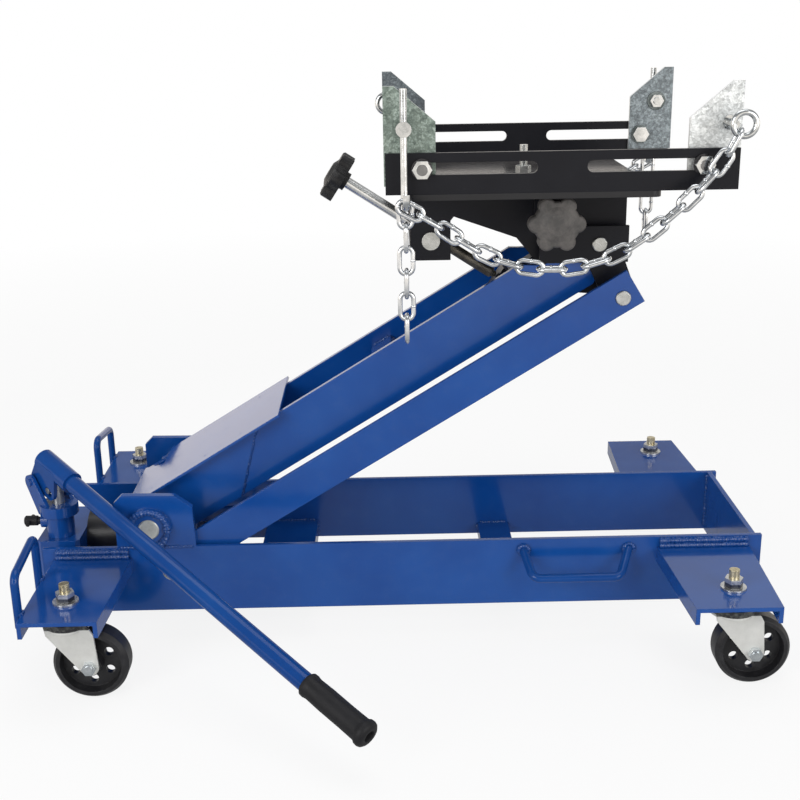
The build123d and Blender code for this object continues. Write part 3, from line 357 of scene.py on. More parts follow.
def enamel(name, deep, light, peel=0.10, edge=0.0012, rough=0.13, level=0.5):
    """Glossy sprayed enamel: slow tone changes, fine orange peel, eased edges."""
    finish = Finish(name, IOR=1.5, Specular_IOR_Level=level, Coat_Roughness=0.05,
                    Coat_Weight=0.2 * level)
    tone = finish.patches(7.0, 3.0, 0.55, 0.3, 0.7)
    dust = finish.patches(55.0, 6.0, 0.7, 0.50, 0.78)
    colour = finish.mix(tone, deep, light)
    colour = finish.mix(dust * 0.06, colour, (0.10, 0.14, 0.26))
    fine = finish.noise(330.0) * 0.5 + finish.noise(70.0, 3.0, 0.6) * 0.5
    finish.surface(fine, peel, 0.0006, edge)
    return finish.set(Base_Color=colour, Roughness=rough + 0.08 * dust + 0.03 * tone)


def satin_black(name, dark, pale, level=0.16, rough=0.28):
    """Satin black enamel with faint rubbed patches."""
    finish = Finish(name, IOR=1.5, Specular_IOR_Level=level)
    tone = finish.patches(11.0, 4.0, 0.6, 0.3, 0.7)
    rub = finish.patches(140.0, 6.0, 0.75, 0.62, 0.80)
    colour = finish.mix(tone, dark, pale)
    colour = finish.mix(rub * 0.25, colour, (0.06, 0.06, 0.068))
    finish.surface(finish.noise(420.0, 3.0, 0.6), 0.14, 0.0005, 0.0008)
    return finish.set(Base_Color=colour, Roughness=rough + 0.12 * tone + 0.1 * rub)


def plate_black():
    """Satin black on the top plate, rubbed glossy and with a painted sheen on its upper face."""
    finish = Finish("top_plate_black", IOR=1.5, Specular_IOR_Level=0.4)
    upper = finish.facing(2) > 0.5
    tone = finish.patches(11.0, 4.0, 0.6, 0.3, 0.7)
    sides = finish.mix(tone, (0.004, 0.0045, 0.0065), (0.007, 0.0075, 0.010))
    # the upper face's lighter colour is a painted sheen
    rubbed = finish.mix(tone, (0.045, 0.042, 0.042), (0.085, 0.080, 0.078))
    finish.surface(finish.noise(420.0, 3.0, 0.6), 0.12, 0.0005, 0.0008)
    return finish.set(Base_Color=finish.mix(upper, sides, rubbed),
                      Roughness=0.34 - 0.18 * upper + 0.1 * tone)


def spangle(name, dark, middle, pale):
    """Hot-dip galvanising in grains on a corner plate, with a painted highlight on its edge faces; plain zinc
    on its rods and bolts, with the slot bolt darkened at its washer and tip."""
    finish = Finish(name, IOR=1.6)
    along, across, up = finish.heights()
    out = abs(across)
    blade = (out > BLADE_IN) * (out < BLADE_OUT)
    first, second = [finish.grains(scale) for scale in (260.0, 620.0)]
    cloud = finish.noise(42.0, 3.0, 0.6)
    mottle = (first * 0.34 + second * 0.34 + cloud * 0.50 - 0.09).clamped()
    flake = finish.ramp(mottle, (0.15, dark), (0.5, middle), (0.85, pale))
    # the plate's edge faces, not turned along Y, are lightened as a painted highlight
    painted_edge_highlight = abs(finish.facing(1)) < 0.5
    flake = finish.mix(painted_edge_highlight * 0.8, flake, (0.86, 0.87, 0.86))
    stain = finish.patches(60.0, 5.0, 0.65, 0.35, 0.7)
    plain = finish.mix(stain, (0.40, 0.42, 0.43), (0.72, 0.74, 0.75))
    off_x = abs(abs(along - SADDLE_MID) - SLOT_BOLT)
    off_z = abs(up - SLOT_Z)
    half, inner, outer = SLOT_WASHER
    washer = (off_x < half) * (off_z < half) * (out > inner) * (out < outer)
    half, inner = SLOT_TIP
    tip = (off_x < half) * (off_z < half) * (out > inner)
    plain = finish.mix((washer + tip * 0.75).clamped(), plain, (0.05, 0.05, 0.055))
    finish.surface(mottle * blade + 0.3 * stain, 0.16, 0.0005, 0.0005)
    rough = blade * (0.34 + 0.20 * second) + (1.0 - blade) * (0.08 + 0.10 * stain)
    metal = blade * (0.30 + 0.25 * first) + (1.0 - blade)
    return finish.set(Base_Color=finish.mix(blade, plain, flake), Roughness=rough, Metallic=metal)


def fork_plate():
    """Dull zinc on the pressed forks, shiny on the axle bolts, a dark greasy band round each crown."""
    finish = Finish("fork_zinc", IOR=1.6)
    across, up = finish.heights()[1:]
    beyond = abs(abs(across) - STEM[1]) > FORK_HALF
    bolt = beyond * (up < AXLE_TOP)
    band = (up > CROWN_BAND[0]) * (up < CROWN_BAND[1])
    smear = finish.patches(190.0, 2.0, 0.5, 0.45, 0.62)
    stain = finish.patches(38.0, 5.0, 0.65, 0.35, 0.7)
    pressed = finish.mix(stain, (0.62, 0.62, 0.59), (0.74, 0.74, 0.71))
    greasy = finish.mix(smear, (0.006, 0.007, 0.012), (0.075, 0.080, 0.075))
    pressed = finish.mix(band, pressed, greasy)
    shiny = finish.mix(stain, (0.42, 0.47, 0.50), (0.82, 0.86, 0.88))
    finish.surface(finish.noise(700.0) * 0.5 + stain * 0.5, 0.10, 0.0004, 0.0008)
    return finish.set(Base_Color=finish.mix(bolt, pressed, shiny),
                      Roughness=0.32 + 0.14 * stain - 0.18 * bolt,
                      Metallic=(0.35 + 0.65 * bolt - 0.3 * band).clamped())


def pitch_steel():
    """Ground steel on the pitch screw, darkened by grease past the trunnion."""
    finish = Finish("pitch_screw_steel", IOR=1.6)
    greased = finish.spread(finish.heights()[0], *GREASED)
    stain = finish.patches(38.0, 5.0, 0.65, 0.35, 0.7)
    clean = finish.mix(stain, (0.60, 0.61, 0.61), (0.84, 0.85, 0.85))
    dark = finish.mix(stain, (0.06, 0.055, 0.045), (0.20, 0.18, 0.15))
    finish.surface(finish.noise(700.0), 0.08, 0.0003)
    return finish.set(Base_Color=finish.mix(greased, clean, dark),
                      Roughness=0.15 + 0.12 * stain + 0.12 * greased, Metallic=0.92 - 0.2 * greased)


def zinc_plate(name, dull, bright, gloss, edge=0.0006, metal=1.0):
    """Bright zinc plate with faint stains and brushing."""
    finish = Finish(name, IOR=1.6, Metallic=metal)
    stain = finish.patches(38.0, 5.0, 0.65, 0.35, 0.7)
    brush = finish.noise(700.0)
    finish.surface(brush * 0.5 + stain * 0.5, 0.10, 0.0004, edge)
    return finish.set(Base_Color=finish.mix(stain, dull, bright), Roughness=gloss + 0.16 * stain)


def stem_plate():
    """Black races under the wings, bright washers, painted shade on the lower nut flanks, yellow bolt ends.
    """
    finish = Finish("stem_plating", IOR=1.6)
    up = finish.heights()[2]
    race = up < WING_LOW
    above = up > WING_TOP + NUT_TOP
    stain = finish.patches(90.0, 5.0, 0.65, 0.35, 0.7)
    plain = finish.mix(stain, (0.52, 0.52, 0.50), (0.82, 0.82, 0.80))
    yellow = finish.mix(stain, (0.44, 0.36, 0.20), (0.82, 0.76, 0.56))
    # lower nut flanks painted dark: painted shade and reflection of dark surroundings
    painted_shade_flank = (up > WING_TOP + NUT_PAINTED_SHADE[0]) * (up < WING_TOP + NUT_PAINTED_SHADE[1])
    dark = finish.mix(stain, (0.055, 0.060, 0.075), (0.17, 0.175, 0.19))
    plain = finish.mix(painted_shade_flank, plain, dark)
    grease = finish.mix(stain, (0.010, 0.012, 0.020), (0.030, 0.034, 0.048))
    finish.surface(finish.noise(500.0), 0.12, 0.0004, 0.0007)
    colour = finish.mix(race, finish.mix(above, plain, yellow), grease)
    return finish.set(Base_Color=colour, Roughness=0.22 + 0.18 * stain, Metallic=0.9 - 0.8 * race)


def moulded(name, colour, worn, wear, rough, grain=900.0, level=0.5):
    """Moulded plastic or rubber with a fine grain and rubbed patches."""
    finish = Finish(name, IOR=1.47, Specular_IOR_Level=level)
    rub = finish.patches(48.0, 6.0, 0.7, 0.42, 0.72)
    finish.surface(finish.noise(grain, 3.0, 0.6), 0.28, 0.0004, 0.0009)
    return finish.set(Base_Color=finish.mix(rub * wear, colour, worn), Roughness=rough + 0.2 * rub)


def wheel_plastic():
    """Hard black wheel: scuffed tread, smooth web."""
    finish = Finish("wheel_plastic", IOR=1.5, Specular_IOR_Level=0.4)
    rub = finish.patches(70.0, 6.0, 0.7, 0.48, 0.75)
    colour = finish.mix(rub * 0.5, (0.013, 0.013, 0.015), (0.040, 0.040, 0.043))
    finish.surface(finish.noise(600.0, 3.0, 0.6), 0.22, 0.0004, 0.0010)
    return finish.set(Base_Color=colour, Roughness=0.36 + 0.2 * rub)


# ---------------------------------------------------------------- settings

class JackColours(bpy.types.PropertyGroup):
    """Paint colours of the jack."""

    deep: bpy.props.FloatVectorProperty(
        name="Deep blue", description="Enamel in its darker patches",
        default=(0.003, 0.050, 0.245), subtype="COLOR", min=0.0, max=1.0)
    light: bpy.props.FloatVectorProperty(
        name="Light blue", description="Enamel in its lighter patches",
        default=(0.007, 0.074, 0.315), subtype="COLOR", min=0.0, max=1.0)


def metres(title, about, default, low=0.0005):
    """A setting in metres."""
    return bpy.props.FloatProperty(name=title, description=about, default=default, min=low, unit="LENGTH")


class JackChain(bpy.types.PropertyGroup):
    """Sizes of a chain link."""

    wire: metres("Wire radius", "Radius of the link wire", 0.0026)
    bend: metres("Bend radius", "Centre line radius at a link's ends", 0.0074, 0.001)
    weld: metres("Weld radius", "Radius of the butt weld on a link", 0.0031)


class JackWelds(bpy.types.PropertyGroup):
    """Sizes of the weld beads."""

    radius: metres("Bead radius", "Half width of a bead", 0.0028)
    heavy: metres("Heavy bead radius", "Half width of the beads on the wings and shaft bosses", 0.0048)
    ripple: metres("Ripple pitch", "Distance between two ripples", 0.0046, 0.001)
    depth: bpy.props.FloatProperty(
        name="Ripple depth", description="Share of the radius lost between ripples", default=0.24,
        min=0.0, max=1.0, subtype="FACTOR")


class JackWashers(bpy.types.PropertyGroup):
    """Sizes of the flat washers on the corner plates."""

    radius: metres("Outer radius", "Outer radius of a flat washer", 0.0122, 0.006)
    thickness: metres("Thickness", "Thickness of a flat washer", 0.0018)


class JackStudio(bpy.types.PropertyGroup):
    """Floor and lamps."""

    floor: metres("Floor size", "Side of the floor", 14.0, 2.0)
    power: bpy.props.FloatProperty(
        name="Lamp power", description="Power that the lamps take shares of", default=62.0, min=0.0,
        unit="POWER")


# ---------------------------------------------------------------- chains

def loops_of(node):
    """Middle, long direction, normal and length of each separate ring in a CAD node, always in one order."""
    mesh = bmesh.new()
    mesh.from_mesh(NODES[node].data)
    bmesh.ops.remove_doubles(mesh, verts=mesh.verts, dist=1e-5)
    waiting = set(mesh.verts)
    rings = []
    while waiting:
        island, edge = set(), [waiting.pop()]
        while edge:
            vertex = edge.pop()
            island.add(vertex)
            for link in vertex.link_edges:
                other = link.other_vert(vertex)
                if other in waiting:
                    waiting.discard(other)
                    edge.append(other)
        rings.append([v.co.copy() for v in island])
    mesh.free()
    rings.sort(key=lambda ring: tuple(round(c, 4) for c in sum(ring, Vector()) / len(ring)))
    return [ring_axes(ring) for ring in rings]


def ring_axes(points):
    """Mean point of a ring, its longest and its shortest direction, and its length."""
    middle = sum(points, Vector()) / len(points)
    spread = Matrix(((0.0,) * 3,) * 3)
    for point in points:
        d = point - middle
        for row in range(3):
            for column in range(3):
                spread[row][column] += d[row] * d[column]
    long_way = strongest(spread)
    rest = spread.copy()
    power = long_way.dot(spread @ long_way)
    for row in range(3):
        for column in range(3):
            rest[row][column] -= power * long_way[row] * long_way[column]
    wide_way = strongest(rest)
    wide_way = (wide_way - long_way * wide_way.dot(long_way)).normalized()
    normal = long_way.cross(wide_way)
    lengths = [(p - middle).dot(long_way) for p in points]
    return middle, long_way, normal, max(lengths) - min(lengths)


def strongest(matrix, steps=60):
    """Direction of a symmetric matrix's largest eigenvalue."""
    direction = Vector((0.53, 0.61, 0.59))
    for _ in range(steps):
        direction = (matrix @ direction).normalized()
    return direction


def link_recipe():
    """A round link with its butt weld on every point, turned by the attributes along and facing."""
    recipe = Recipe("chain_links", Wire_Radius=0.0026, Length=0.0308, Bend_Radius=0.0074, Weld_Radius=0.003)
    wire = recipe["Wire Radius"]
    bend = recipe["Bend Radius"]
    outline = recipe.node("GeometryNodeCurvePrimitiveQuadrilateral", {}, recipe["Length"] - 2.0 * wire,
                          2.0 * bend)
    rounded = recipe.node("GeometryNodeFilletCurve", {"mode": "POLY"}, Curve=outline, Count=7,
                          Radius=bend * 0.999, Limit_Radius=True)
    section = recipe.node("GeometryNodeCurvePrimitiveCircle", {}, Resolution=12, Radius=wire)
    ring = recipe.node("GeometryNodeCurveToMesh", {}, Curve=rounded, Profile_Curve=section)
    bump = recipe.node("GeometryNodeMeshUVSphere", {}, Segments=12, Rings=8, Radius=recipe["Weld Radius"])
    offset = recipe.node("ShaderNodeCombineXYZ", {}, 0.0, bend, 0.0)
    weld = recipe.node("GeometryNodeTransform", {}, Geometry=bump, Translation=offset, Scale=(0.85, 1.0, 1.0))
    join = recipe.tree.nodes.new("GeometryNodeJoinGeometry")
    for part in (weld, ring):
        recipe.tree.links.new(part.socket, join.inputs[0])
    axes = {"primary_axis": "Z", "secondary_axis": "X"}
    turn = recipe.node("FunctionNodeAxesToRotation", axes, recipe.vector("facing"), recipe.vector("along"))
    recipe.close(recipe.on_points(Signal(recipe, join.outputs[0]), turn))
    return recipe


class JACK_OT_chains(bpy.types.Operator):
    """Makes both hold-down chains from round welded links"""

    bl_idname = "jack.chains"
    bl_label = "Hold-down chains"

    def execute(self, context):
        sizes = context.scene.jack_chain
        recipe = link_recipe()
        for side in ("near", "far"):
            middles, along, facing, lengths = zip(*loops_of("chain_" + side))
            seed = seed_points(middles, along=along, facing=facing)
            length = sum(lengths) / len(lengths)
            chain = recipe.grow("hold_down_chain_" + side, seed, FINISHES["chain"], Wire_Radius=sizes.wire,
                                Bend_Radius=sizes.bend, Weld_Radius=sizes.weld, Length=length)
            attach(chain, "saddle")
            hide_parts("chain_" + side)
        return {"FINISHED"}


# ---------------------------------------------------------------- welds

def bead_recipe():
    """A rippled, slightly uneven bead along every edge chain of the seed."""
    recipe = Recipe("weld_beads", Radius=0.0028, Ripple=0.0042, Depth=0.24, Facets=8, Seed=3)
    line = recipe.node("GeometryNodeMeshToCurve", {}, recipe["Geometry"])
    even = recipe.node("GeometryNodeResampleCurve", {"mode": "LENGTH"}, Curve=line,
                       Length=recipe["Ripple"] * 0.2)
    run = recipe.node("GeometryNodeSplineParameter", output="Length")
    ripple = abs((run / recipe["Ripple"] * math.pi).sine())
    place = recipe.node("GeometryNodeInputPosition")
    uneven = recipe.node("ShaderNodeTexNoise", {"noise_dimensions": "4D"}, Vector=place,
                         W=recipe["Seed"] * 1.7, Scale=130.0, Detail=1.0)
    swell = 1.0 - recipe["Depth"] * (1.0 - ripple) + (uneven - 0.5) * 1.1
    section = recipe.node("GeometryNodeCurvePrimitiveCircle", {}, Resolution=recipe["Facets"],
                          Radius=recipe["Radius"])
    bead = recipe.node("GeometryNodeCurveToMesh", {}, Curve=even, Profile_Curve=section, Scale=swell,
                       Fill_Caps=True)
    recipe.close(bead)
    return recipe


def on_arm(along, up, y):
    """Point on the arm: distance from the main shaft, height above its centre line, Y."""
    c, s = math.cos(ARM_TILT), math.sin(ARM_TILT)
    return Vector((SHAFT.x + along * c - up * s, y, SHAFT.z + along * s + up * c))


def chassis_seams():
    """Ears, cross members and plates inside the rails, roots of the carrying and hoop handles."""
    seams = []
    for side in (-1, 1):
        face = side * (RAIL_OUT - 0.0005)
        seams.append([(EAR_X[0] + SEAM_INSET, face, RAIL_TOP), (EAR_X[1] - SEAM_INSET, face, RAIL_TOP)])
        inner = side * RAIL_IN
        low = RAIL_LOW + SEAM_INSET
        for rear, front, height in CROSS_MEMBERS:
            high = RAIL_LOW + height - 0.002
            seams += [[(x, inner, low), (x, inner, high)] for x in (rear, front)]
        for rear, front, height in CROSS_MEMBERS:
            high = RAIL_LOW + height
            seams.append([(rear + SEAM_INSET, inner, high), (front - SEAM_INSET, inner, high)])
        low = RAIL_LOW + 0.006
        seams.append([(FRONT_PLATE_X, inner, low), (FRONT_PLATE_X, inner, RAIL_TOP - SEAM_INSET)])
        seams.append([(x, inner, low) for x in BASE_PLATE_X])
        for x in GRAB_ROOTS:
            seams.append(ring_seam((x, side * (RAIL_OUT + 0.0015), GRAB_Z), GRAB_RING))
        for root in HOOP_ROOTS:
            seams.append([(HOOP_X + 0.0045, side * root + y, WING_TOP + 0.0005) for y in (-0.005, 0.005)])
    return seams


def ring_seam(middle, radius, steps=28):
    """Closed seam round a bar that runs along Y."""
    x, y, z = middle
    turns = [2 * math.pi * i / steps for i in range(steps + 1)]
    return [(x + radius * math.cos(turn), y, z + radius * math.sin(turn)) for turn in turns]


def boss_seams():
    return [ring_seam((SHAFT.x, side * (RAIL_OUT + BOSS_OUT), SHAFT.z), BOSS_RING) for side in (-1, 1)]


def wing_seams():
    """Two heavy passes along the root of each wing, one over the other."""
    seams = []
    for side in (-1, 1):
        for rear, front in WING_ROOTS:
            for out, up in WING_PASSES:
                y = side * (RAIL_OUT + out)
                seams.append([(x, y, WING_TOP + up) for x in (rear + 0.003, front - 0.003)])
    return seams


def arm_seams():
    """Slanted edge of each doubler, cross piece between the plates, and foot of the cover."""
    seams = []
    (top_along, top_up), (low_along, low_up) = DOUBLER_EDGE
    first, last, low, high = CROSS_PIECE
    for side in (-1, 1):
        face = side * ARM_OUT
        seams.append([on_arm(top_along + (low_along - top_along) * t, top_up + (low_up - top_up) * t, face)
                      for t in (0.04, 0.5, 0.96)])
        inner = side * ARM_IN
        seams += [[on_arm(along, high, inner), on_arm(along, low, inner)] for along in (first, last)]
        ends = (first + SEAM_INSET, last - SEAM_INSET)
        seams.append([on_arm(along, high + 0.002, inner) for along in ends])
        seams.append([on_arm(along, ARM_UP, side * (ARM_OUT + 0.0008)) for along in COVER_RUN])
    return seams


def seam_mesh(seams):
    """All seams in one mesh of edges."""
    points, edges = [], []
    for seam in seams:
        start = len(points)
        points += [Vector(p) for p in seam]
        edges += [(start + i, start + i + 1) for i in range(len(seam) - 1)]
    mesh = bpy.data.meshes.new("seams")
    mesh.from_pydata(points, edges, [])
    return mesh


class JACK_OT_welds(bpy.types.Operator):
    """Lays the weld beads of the chassis and of the arm"""

    bl_idname = "jack.welds"
    bl_label = "Weld beads"

    def execute(self, context):
        sizes = context.scene.jack_welds
        recipe = bead_recipe()
        beads = (("chassis_welds", "chassis", chassis_seams(), sizes.radius),
                 ("arm_welds", "arm", arm_seams(), sizes.radius),
                 ("boss_welds", "chassis", boss_seams(), sizes.heavy),
                 ("wing_welds", "chassis", wing_seams(), sizes.heavy))
        for name, body, seams, radius in beads:
            laid = recipe.grow(name, seam_mesh(seams), FINISHES["weld"], Radius=radius, Ripple=sizes.ripple,
                               Depth=sizes.depth)
            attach(laid, body)
        return {"FINISHED"}


# ---------------------------------------------------------------- threads

def thread_recipe():
    """A helical ridge that starts at every point and runs along the attribute along."""
    recipe = Recipe("screw_threads", Radius=0.006, Pitch=0.00175, Length=0.01, Ridge=0.00045)
    turns = recipe["Length"] / recipe["Pitch"]
    core = recipe["Radius"] - 0.4 * recipe["Ridge"]
    helix = recipe.node("GeometryNodeCurveSpiral", {}, Resolution=20, Rotations=turns, Start_Radius=core,
                        End_Radius=core, Height=recipe["Length"])
    section = recipe.node("GeometryNodeCurvePrimitiveCircle", {}, Resolution=4, Radius=recipe["Ridge"])
    ridge = recipe.node("GeometryNodeCurveToMesh", {}, Curve=helix, Profile_Curve=section, Fill_Caps=True)
    turn = recipe.node("FunctionNodeAlignRotationToVector", {"axis": "Z"}, Vector=recipe.vector("along"))
    recipe.close(recipe.on_points(ridge, turn))
    return recipe


def threads():
    """Name, body, slot, finish, starts, direction, radius, pitch and length of each run of thread."""
    up, across = Vector((0.0, 0.0, 1.0)), Vector((0.0, 1.0, 0.0))
    stems = [(x, y, WING_TOP + NUT_TOP) for x in (-STEM[0], STEM[0]) for y in (-STEM[1], STEM[1])]
    screw_start = TRUNNION - SCREW_DROP * SCREW_BEHIND
    far_rod = Vector((2 * SADDLE_MID - HOOK_ROD.x, -HOOK_ROD.y, HOOK_ROD.z))
    pitch_run = (SCREW_DROP, 0.007, 0.002, 0.119)
    roll_run = (across, 0.005, 0.0015, 0.068)
    hook_run = (up, 0.004, 0.00125, 0.031)
    return [
        ("stem_threads", "chassis", "zinc", "stems", stems, up, 0.006, 0.00175, 0.0095),
        ("pitch_screw_thread", "pitch_screw", "bright_steel", "pitch", [screw_start], *pitch_run),
        ("roll_screw_thread", "roll_screw", "bright_steel", "steel", [ROLL_SCREW], *roll_run),
        ("hook_thread_near", "corner_bracket_rear_near", "galvanised", "rear_plate", [HOOK_ROD], *hook_run),
        ("hook_thread_far", "corner_bracket_front_far", "galvanised", "far_plate", [far_rod], *hook_run),
    ]


class JACK_OT_threads(bpy.types.Operator):
    """Winds the threads that show on the stems, screws and hook rods"""

    bl_idname = "jack.threads"
    bl_label = "Threads"

    def execute(self, context):
        recipe = thread_recipe()
        for name, body, slot, finish, starts, way, radius, pitch, length in threads():
            seed = seed_points(starts, along=[way] * len(starts))
            run = recipe.grow(name, seed, FINISHES[finish], Radius=radius, Pitch=pitch, Length=length)
            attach(run, body)
        return {"FINISHED"}


# ---------------------------------------------------------------- washers

def washer_recipe():
    """A flat disc across Y on every point."""
    recipe = Recipe("flat_washers", Radius=0.0122, Thickness=0.0018)
    disc = recipe.node("GeometryNodeMeshCylinder", {}, Vertices=48, Radius=recipe["Radius"],
                       Depth=recipe["Thickness"])
    across = recipe.node("FunctionNodeAlignRotationToVector", {"axis": "Z"}, Vector=(0.0, 1.0, 0.0))
    recipe.close(recipe.on_points(disc, across), smooth=False)
    return recipe


class JACK_OT_washers(bpy.types.Operator):
    """Puts a flat washer at each bolt, inside the corner plates"""

    bl_idname = "jack.washers"
    bl_label = "Washers"

    def execute(self, context):
        sizes = context.scene.jack_washers
        recipe = washer_recipe()
        for corner in CORNERS:
            end, side = corner.split("_")
            facing = 1 if side == "near" else -1
            outward = 1 if end == "front" else -1
            off, up = EYE if outward == facing else HOOK
            y = facing * (sizes.thickness / 2 - PLATE_FACE)
            spots = [(SADDLE_MID + outward * off, y, up), (SADDLE_MID + outward * SLOT_BOLT, y, SLOT_Z)]
            washers = recipe.grow(f"washers_{corner}", seed_points(spots), FINISHES["washer"],
                                  Radius=sizes.radius, Thickness=sizes.thickness)
            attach(washers, f"corner_bracket_{corner}")
        return {"FINISHED"}


# ---------------------------------------------------------------- grip

def lathe(profile, segments=48):
    """Closed solid of revolution about X from (x, radius) points, both ends on the axis."""
    mesh = bmesh.new()
    rings = []
    for x, radius in profile:
        if radius == 0:
            rings.append([mesh.verts.new((x, 0, 0))])
        else:
            rings.append([mesh.verts.new((x, radius * math.cos(2 * math.pi * i / segments),
                                          radius * math.sin(2 * math.pi * i / segments)))
                          for i in range(segments)])
    for first, second in zip(rings, rings[1:]):
        for i in range(segments):
            j = (i + 1) % segments
            if len(first) == 1:
                mesh.faces.new((first[0], second[j], second[i]))
            elif len(second) == 1:
                mesh.faces.new((first[i], first[j], second[0]))
            else:
                mesh.faces.new((first[i], first[j], second[j], second[i]))
    bmesh.ops.recalc_face_normals(mesh, faces=mesh.faces)
    made = bpy.data.meshes.new("turned")
    mesh.to_mesh(made)
    mesh.free()
    for polygon in made.polygons:
        polygon.use_smooth = True
    made.set_sharp_from_angle(angle=math.radians(40))
    return made


def handle_place():
    """Where a piece made along +X from the socket's front end goes."""
    heading = Matrix.Rotation(GRIP_TURN, 4, "Z")
    drop = Matrix.Rotation(GRIP_DROP, 4, "Y")
    return Matrix.Translation(GRIP_ORIGIN) @ heading @ Matrix.Translation(SOCKET_FRONT) @ drop


class JACK_OT_grip(bpy.types.Operator):
    """Makes the moulded grip on the pump handle"""

    bl_idname = "jack.grip"
    bl_label = "Handle grip"

    def execute(self, context):
        a, b = GRIP_FROM, GRIP_TO
        bottom = a + GRIP_BORE
        profile = [(bottom, 0), (bottom, SLEEVE_R), (a + 0.0002, SLEEVE_R), (a, 0.0128), (a + 0.0012, 0.0139),
                   (a + 0.005, 0.0141), (a + 0.0085, 0.0133), (a + 0.0105, 0.0131), (a + 0.030, 0.0136),
                   (bottom, 0.0134), (b - 0.014, 0.0137), (b - 0.0118, 0.0140), (b - 0.0096, 0.0155),
                   (b - 0.0060, 0.0158), (b - 0.0035, 0.0150), (b - 0.0012, 0.0125), (b - 0.0002, 0.0095),
                   (b - 0.0004, 0.0070), (b - 0.0020, 0.0060), (b - 0.0120, 0.0055), (b - 0.0125, 0)]
        mesh = lathe(profile)
        mesh.transform(handle_place())
        grip = placed("moulded_grip", mesh, FINISHES["grip"])
        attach(grip, "handle")
        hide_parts("handle_grip")
        return {"FINISHED"}


# ---------------------------------------------------------------- painting the frame

FINISHES = {}

# dark, middle and pale tone of the zinc on each corner plate; partly painted shade on the far and back plates
PLATE_TONES = {
    "rear": ((0.075, 0.105, 0.088), (0.18, 0.23, 0.20), (0.42, 0.50, 0.45)),
    "front": ((0.34, 0.35, 0.35), (0.60, 0.62, 0.62), (0.90, 0.92, 0.92)),
    "far": ((0.080, 0.092, 0.100), (0.17, 0.20, 0.215), (0.37, 0.42, 0.44)),
    "back": ((0.050, 0.060, 0.070), (0.10, 0.12, 0.135), (0.23, 0.27, 0.29)),
}


def shaded(colour, share=0.82):
    """The colour, darkened as painted shade."""
    return tuple(c * share for c in colour)


class JACK_OT_finishes(bpy.types.Operator):
    """Gives every piece of the frame its finish"""

    bl_idname = "jack.finishes"
    bl_label = "Finishes"

    def execute(self, context):
        colours = context.scene.jack_colours
        deep, light = tuple(colours.deep), tuple(colours.light)
        for title, tones in PLATE_TONES.items():
            FINISHES[title + "_plate"] = spangle("galvanised_" + title, *tones)
        FINISHES.update(
            blue=enamel("blue_enamel", deep, light),
            cover=enamel("blue_cover_enamel", deep, light, peel=0.06),
            # tube and weld enamel are the blue darkened as painted shade
            tube=enamel("blue_tube_enamel", shaded(deep), shaded(light), 0.05, 0.0, rough=0.06, level=0.2),
            weld=enamel("blue_weld_enamel", shaded(deep), shaded(light), 0.12, 0.0, rough=0.05),
            black=satin_black("satin_black_enamel", (0.0060, 0.0065, 0.0095), (0.0100, 0.0105, 0.0140)),
            tank=satin_black("tank_black", (0.016, 0.016, 0.018), (0.026, 0.026, 0.028), level=0.5),
            plate=plate_black(),
            fork=fork_plate(),
            pitch=pitch_steel(),
            chain=zinc_plate("chain_zinc", (0.50, 0.52, 0.54), (0.80, 0.82, 0.84), 0.08, 0.0, 0.95),
            steel=zinc_plate("turned_steel", (0.34, 0.35, 0.34), (0.66, 0.67, 0.66), 0.20, metal=0.8),
            # washer zinc, as dark as the far plates' zinc: partly painted shade
            washer=zinc_plate("washer_zinc", (0.060, 0.075, 0.078), (0.20, 0.23, 0.235), 0.18,
                              metal=0.9),
            shaft=zinc_plate("shaft_steel", (0.50, 0.51, 0.47), (0.84, 0.85, 0.80), 0.28, metal=0.6),
            stems=stem_plate(),
            wheel=wheel_plastic(),
            grip=moulded("grip_rubber", (0.010, 0.010, 0.012), (0.022, 0.022, 0.024), 0.5, 0.46,
                         level=0.25),
            knob=moulded("knob_plastic", (0.010, 0.010, 0.011), (0.060, 0.060, 0.060), 0.8, 0.40,
                         level=0.3),
            worn=moulded("worn_knob_plastic", (0.055, 0.052, 0.050), (0.17, 0.155, 0.145), 0.8, 0.55,
                         grain=500.0),
        )
        painted = {
            "blue": BLUE_PARTS,
            "cover": ["arm_cover"],
            "tube": ["handle_tube", "handle_socket", "hoop_handles", "side_handles"],
            "black": SADDLE_BLACK,
            "tank": ["reservoir"],
            "rear_plate": ["corner_bracket_rear_near"],
            "front_plate": ["corner_bracket_front_near"],
            "far_plate": ["corner_bracket_front_far"],
            "back_plate": ["corner_bracket_rear_far"],
            "fork": ["caster_fork_" + corner for corner in CORNERS],
            "plate": ["top_plate"],
            "pitch": ["pitch_screw"],
            "shaft": ["main_shaft"],
            "wheel": ["caster_wheel_" + corner for corner in CORNERS],
            "chain": ["chain_near", "chain_far"],
            "steel": TURNED_STEEL,
            "stems": ["caster_stems"],
            "grip": ["handle_grip", "release_valve"],
            "knob": ["pitch_knob"],
            "worn": ["roll_knob"],
        }
        for finish, nodes in painted.items():
            for name in nodes:
                mesh = NODES[name].data
                mesh.materials.clear()
                mesh.materials.append(FINISHES[finish])
        left = sorted(set(NODES) - {n for nodes in painted.values() for n in nodes})
        if left:
            raise RuntimeError("no finish for " + ", ".join(left))
        return {"FINISHED"}


# ---------------------------------------------------------------- studio

CAMERA_AT = Vector((-0.00975, -1.50098, 0.7705))
CAMERA_YAW = 0.01018
CAMERA_PITCH = 0.3123
CAMERA_ROLL = -0.01651
LENS = 54.19
SENSOR = 36.0
AMBIENT = 0.42
CEILING = 0.40          # mirrored brightness overhead
BAND = 1.35             # mirrored brightness near the horizon and below it
BAND_EDGE = (0.27, 0.16)
WARM = (1.0, 0.93, 0.85)
FLOOR_MIRRORED = 0.45
FLOOR_FADE = (1.2, 3.0)
FLOOR_GLOW = (0.86, 0.8, 0.9)       # glow's share for rays from the camera, through glass, off gloss

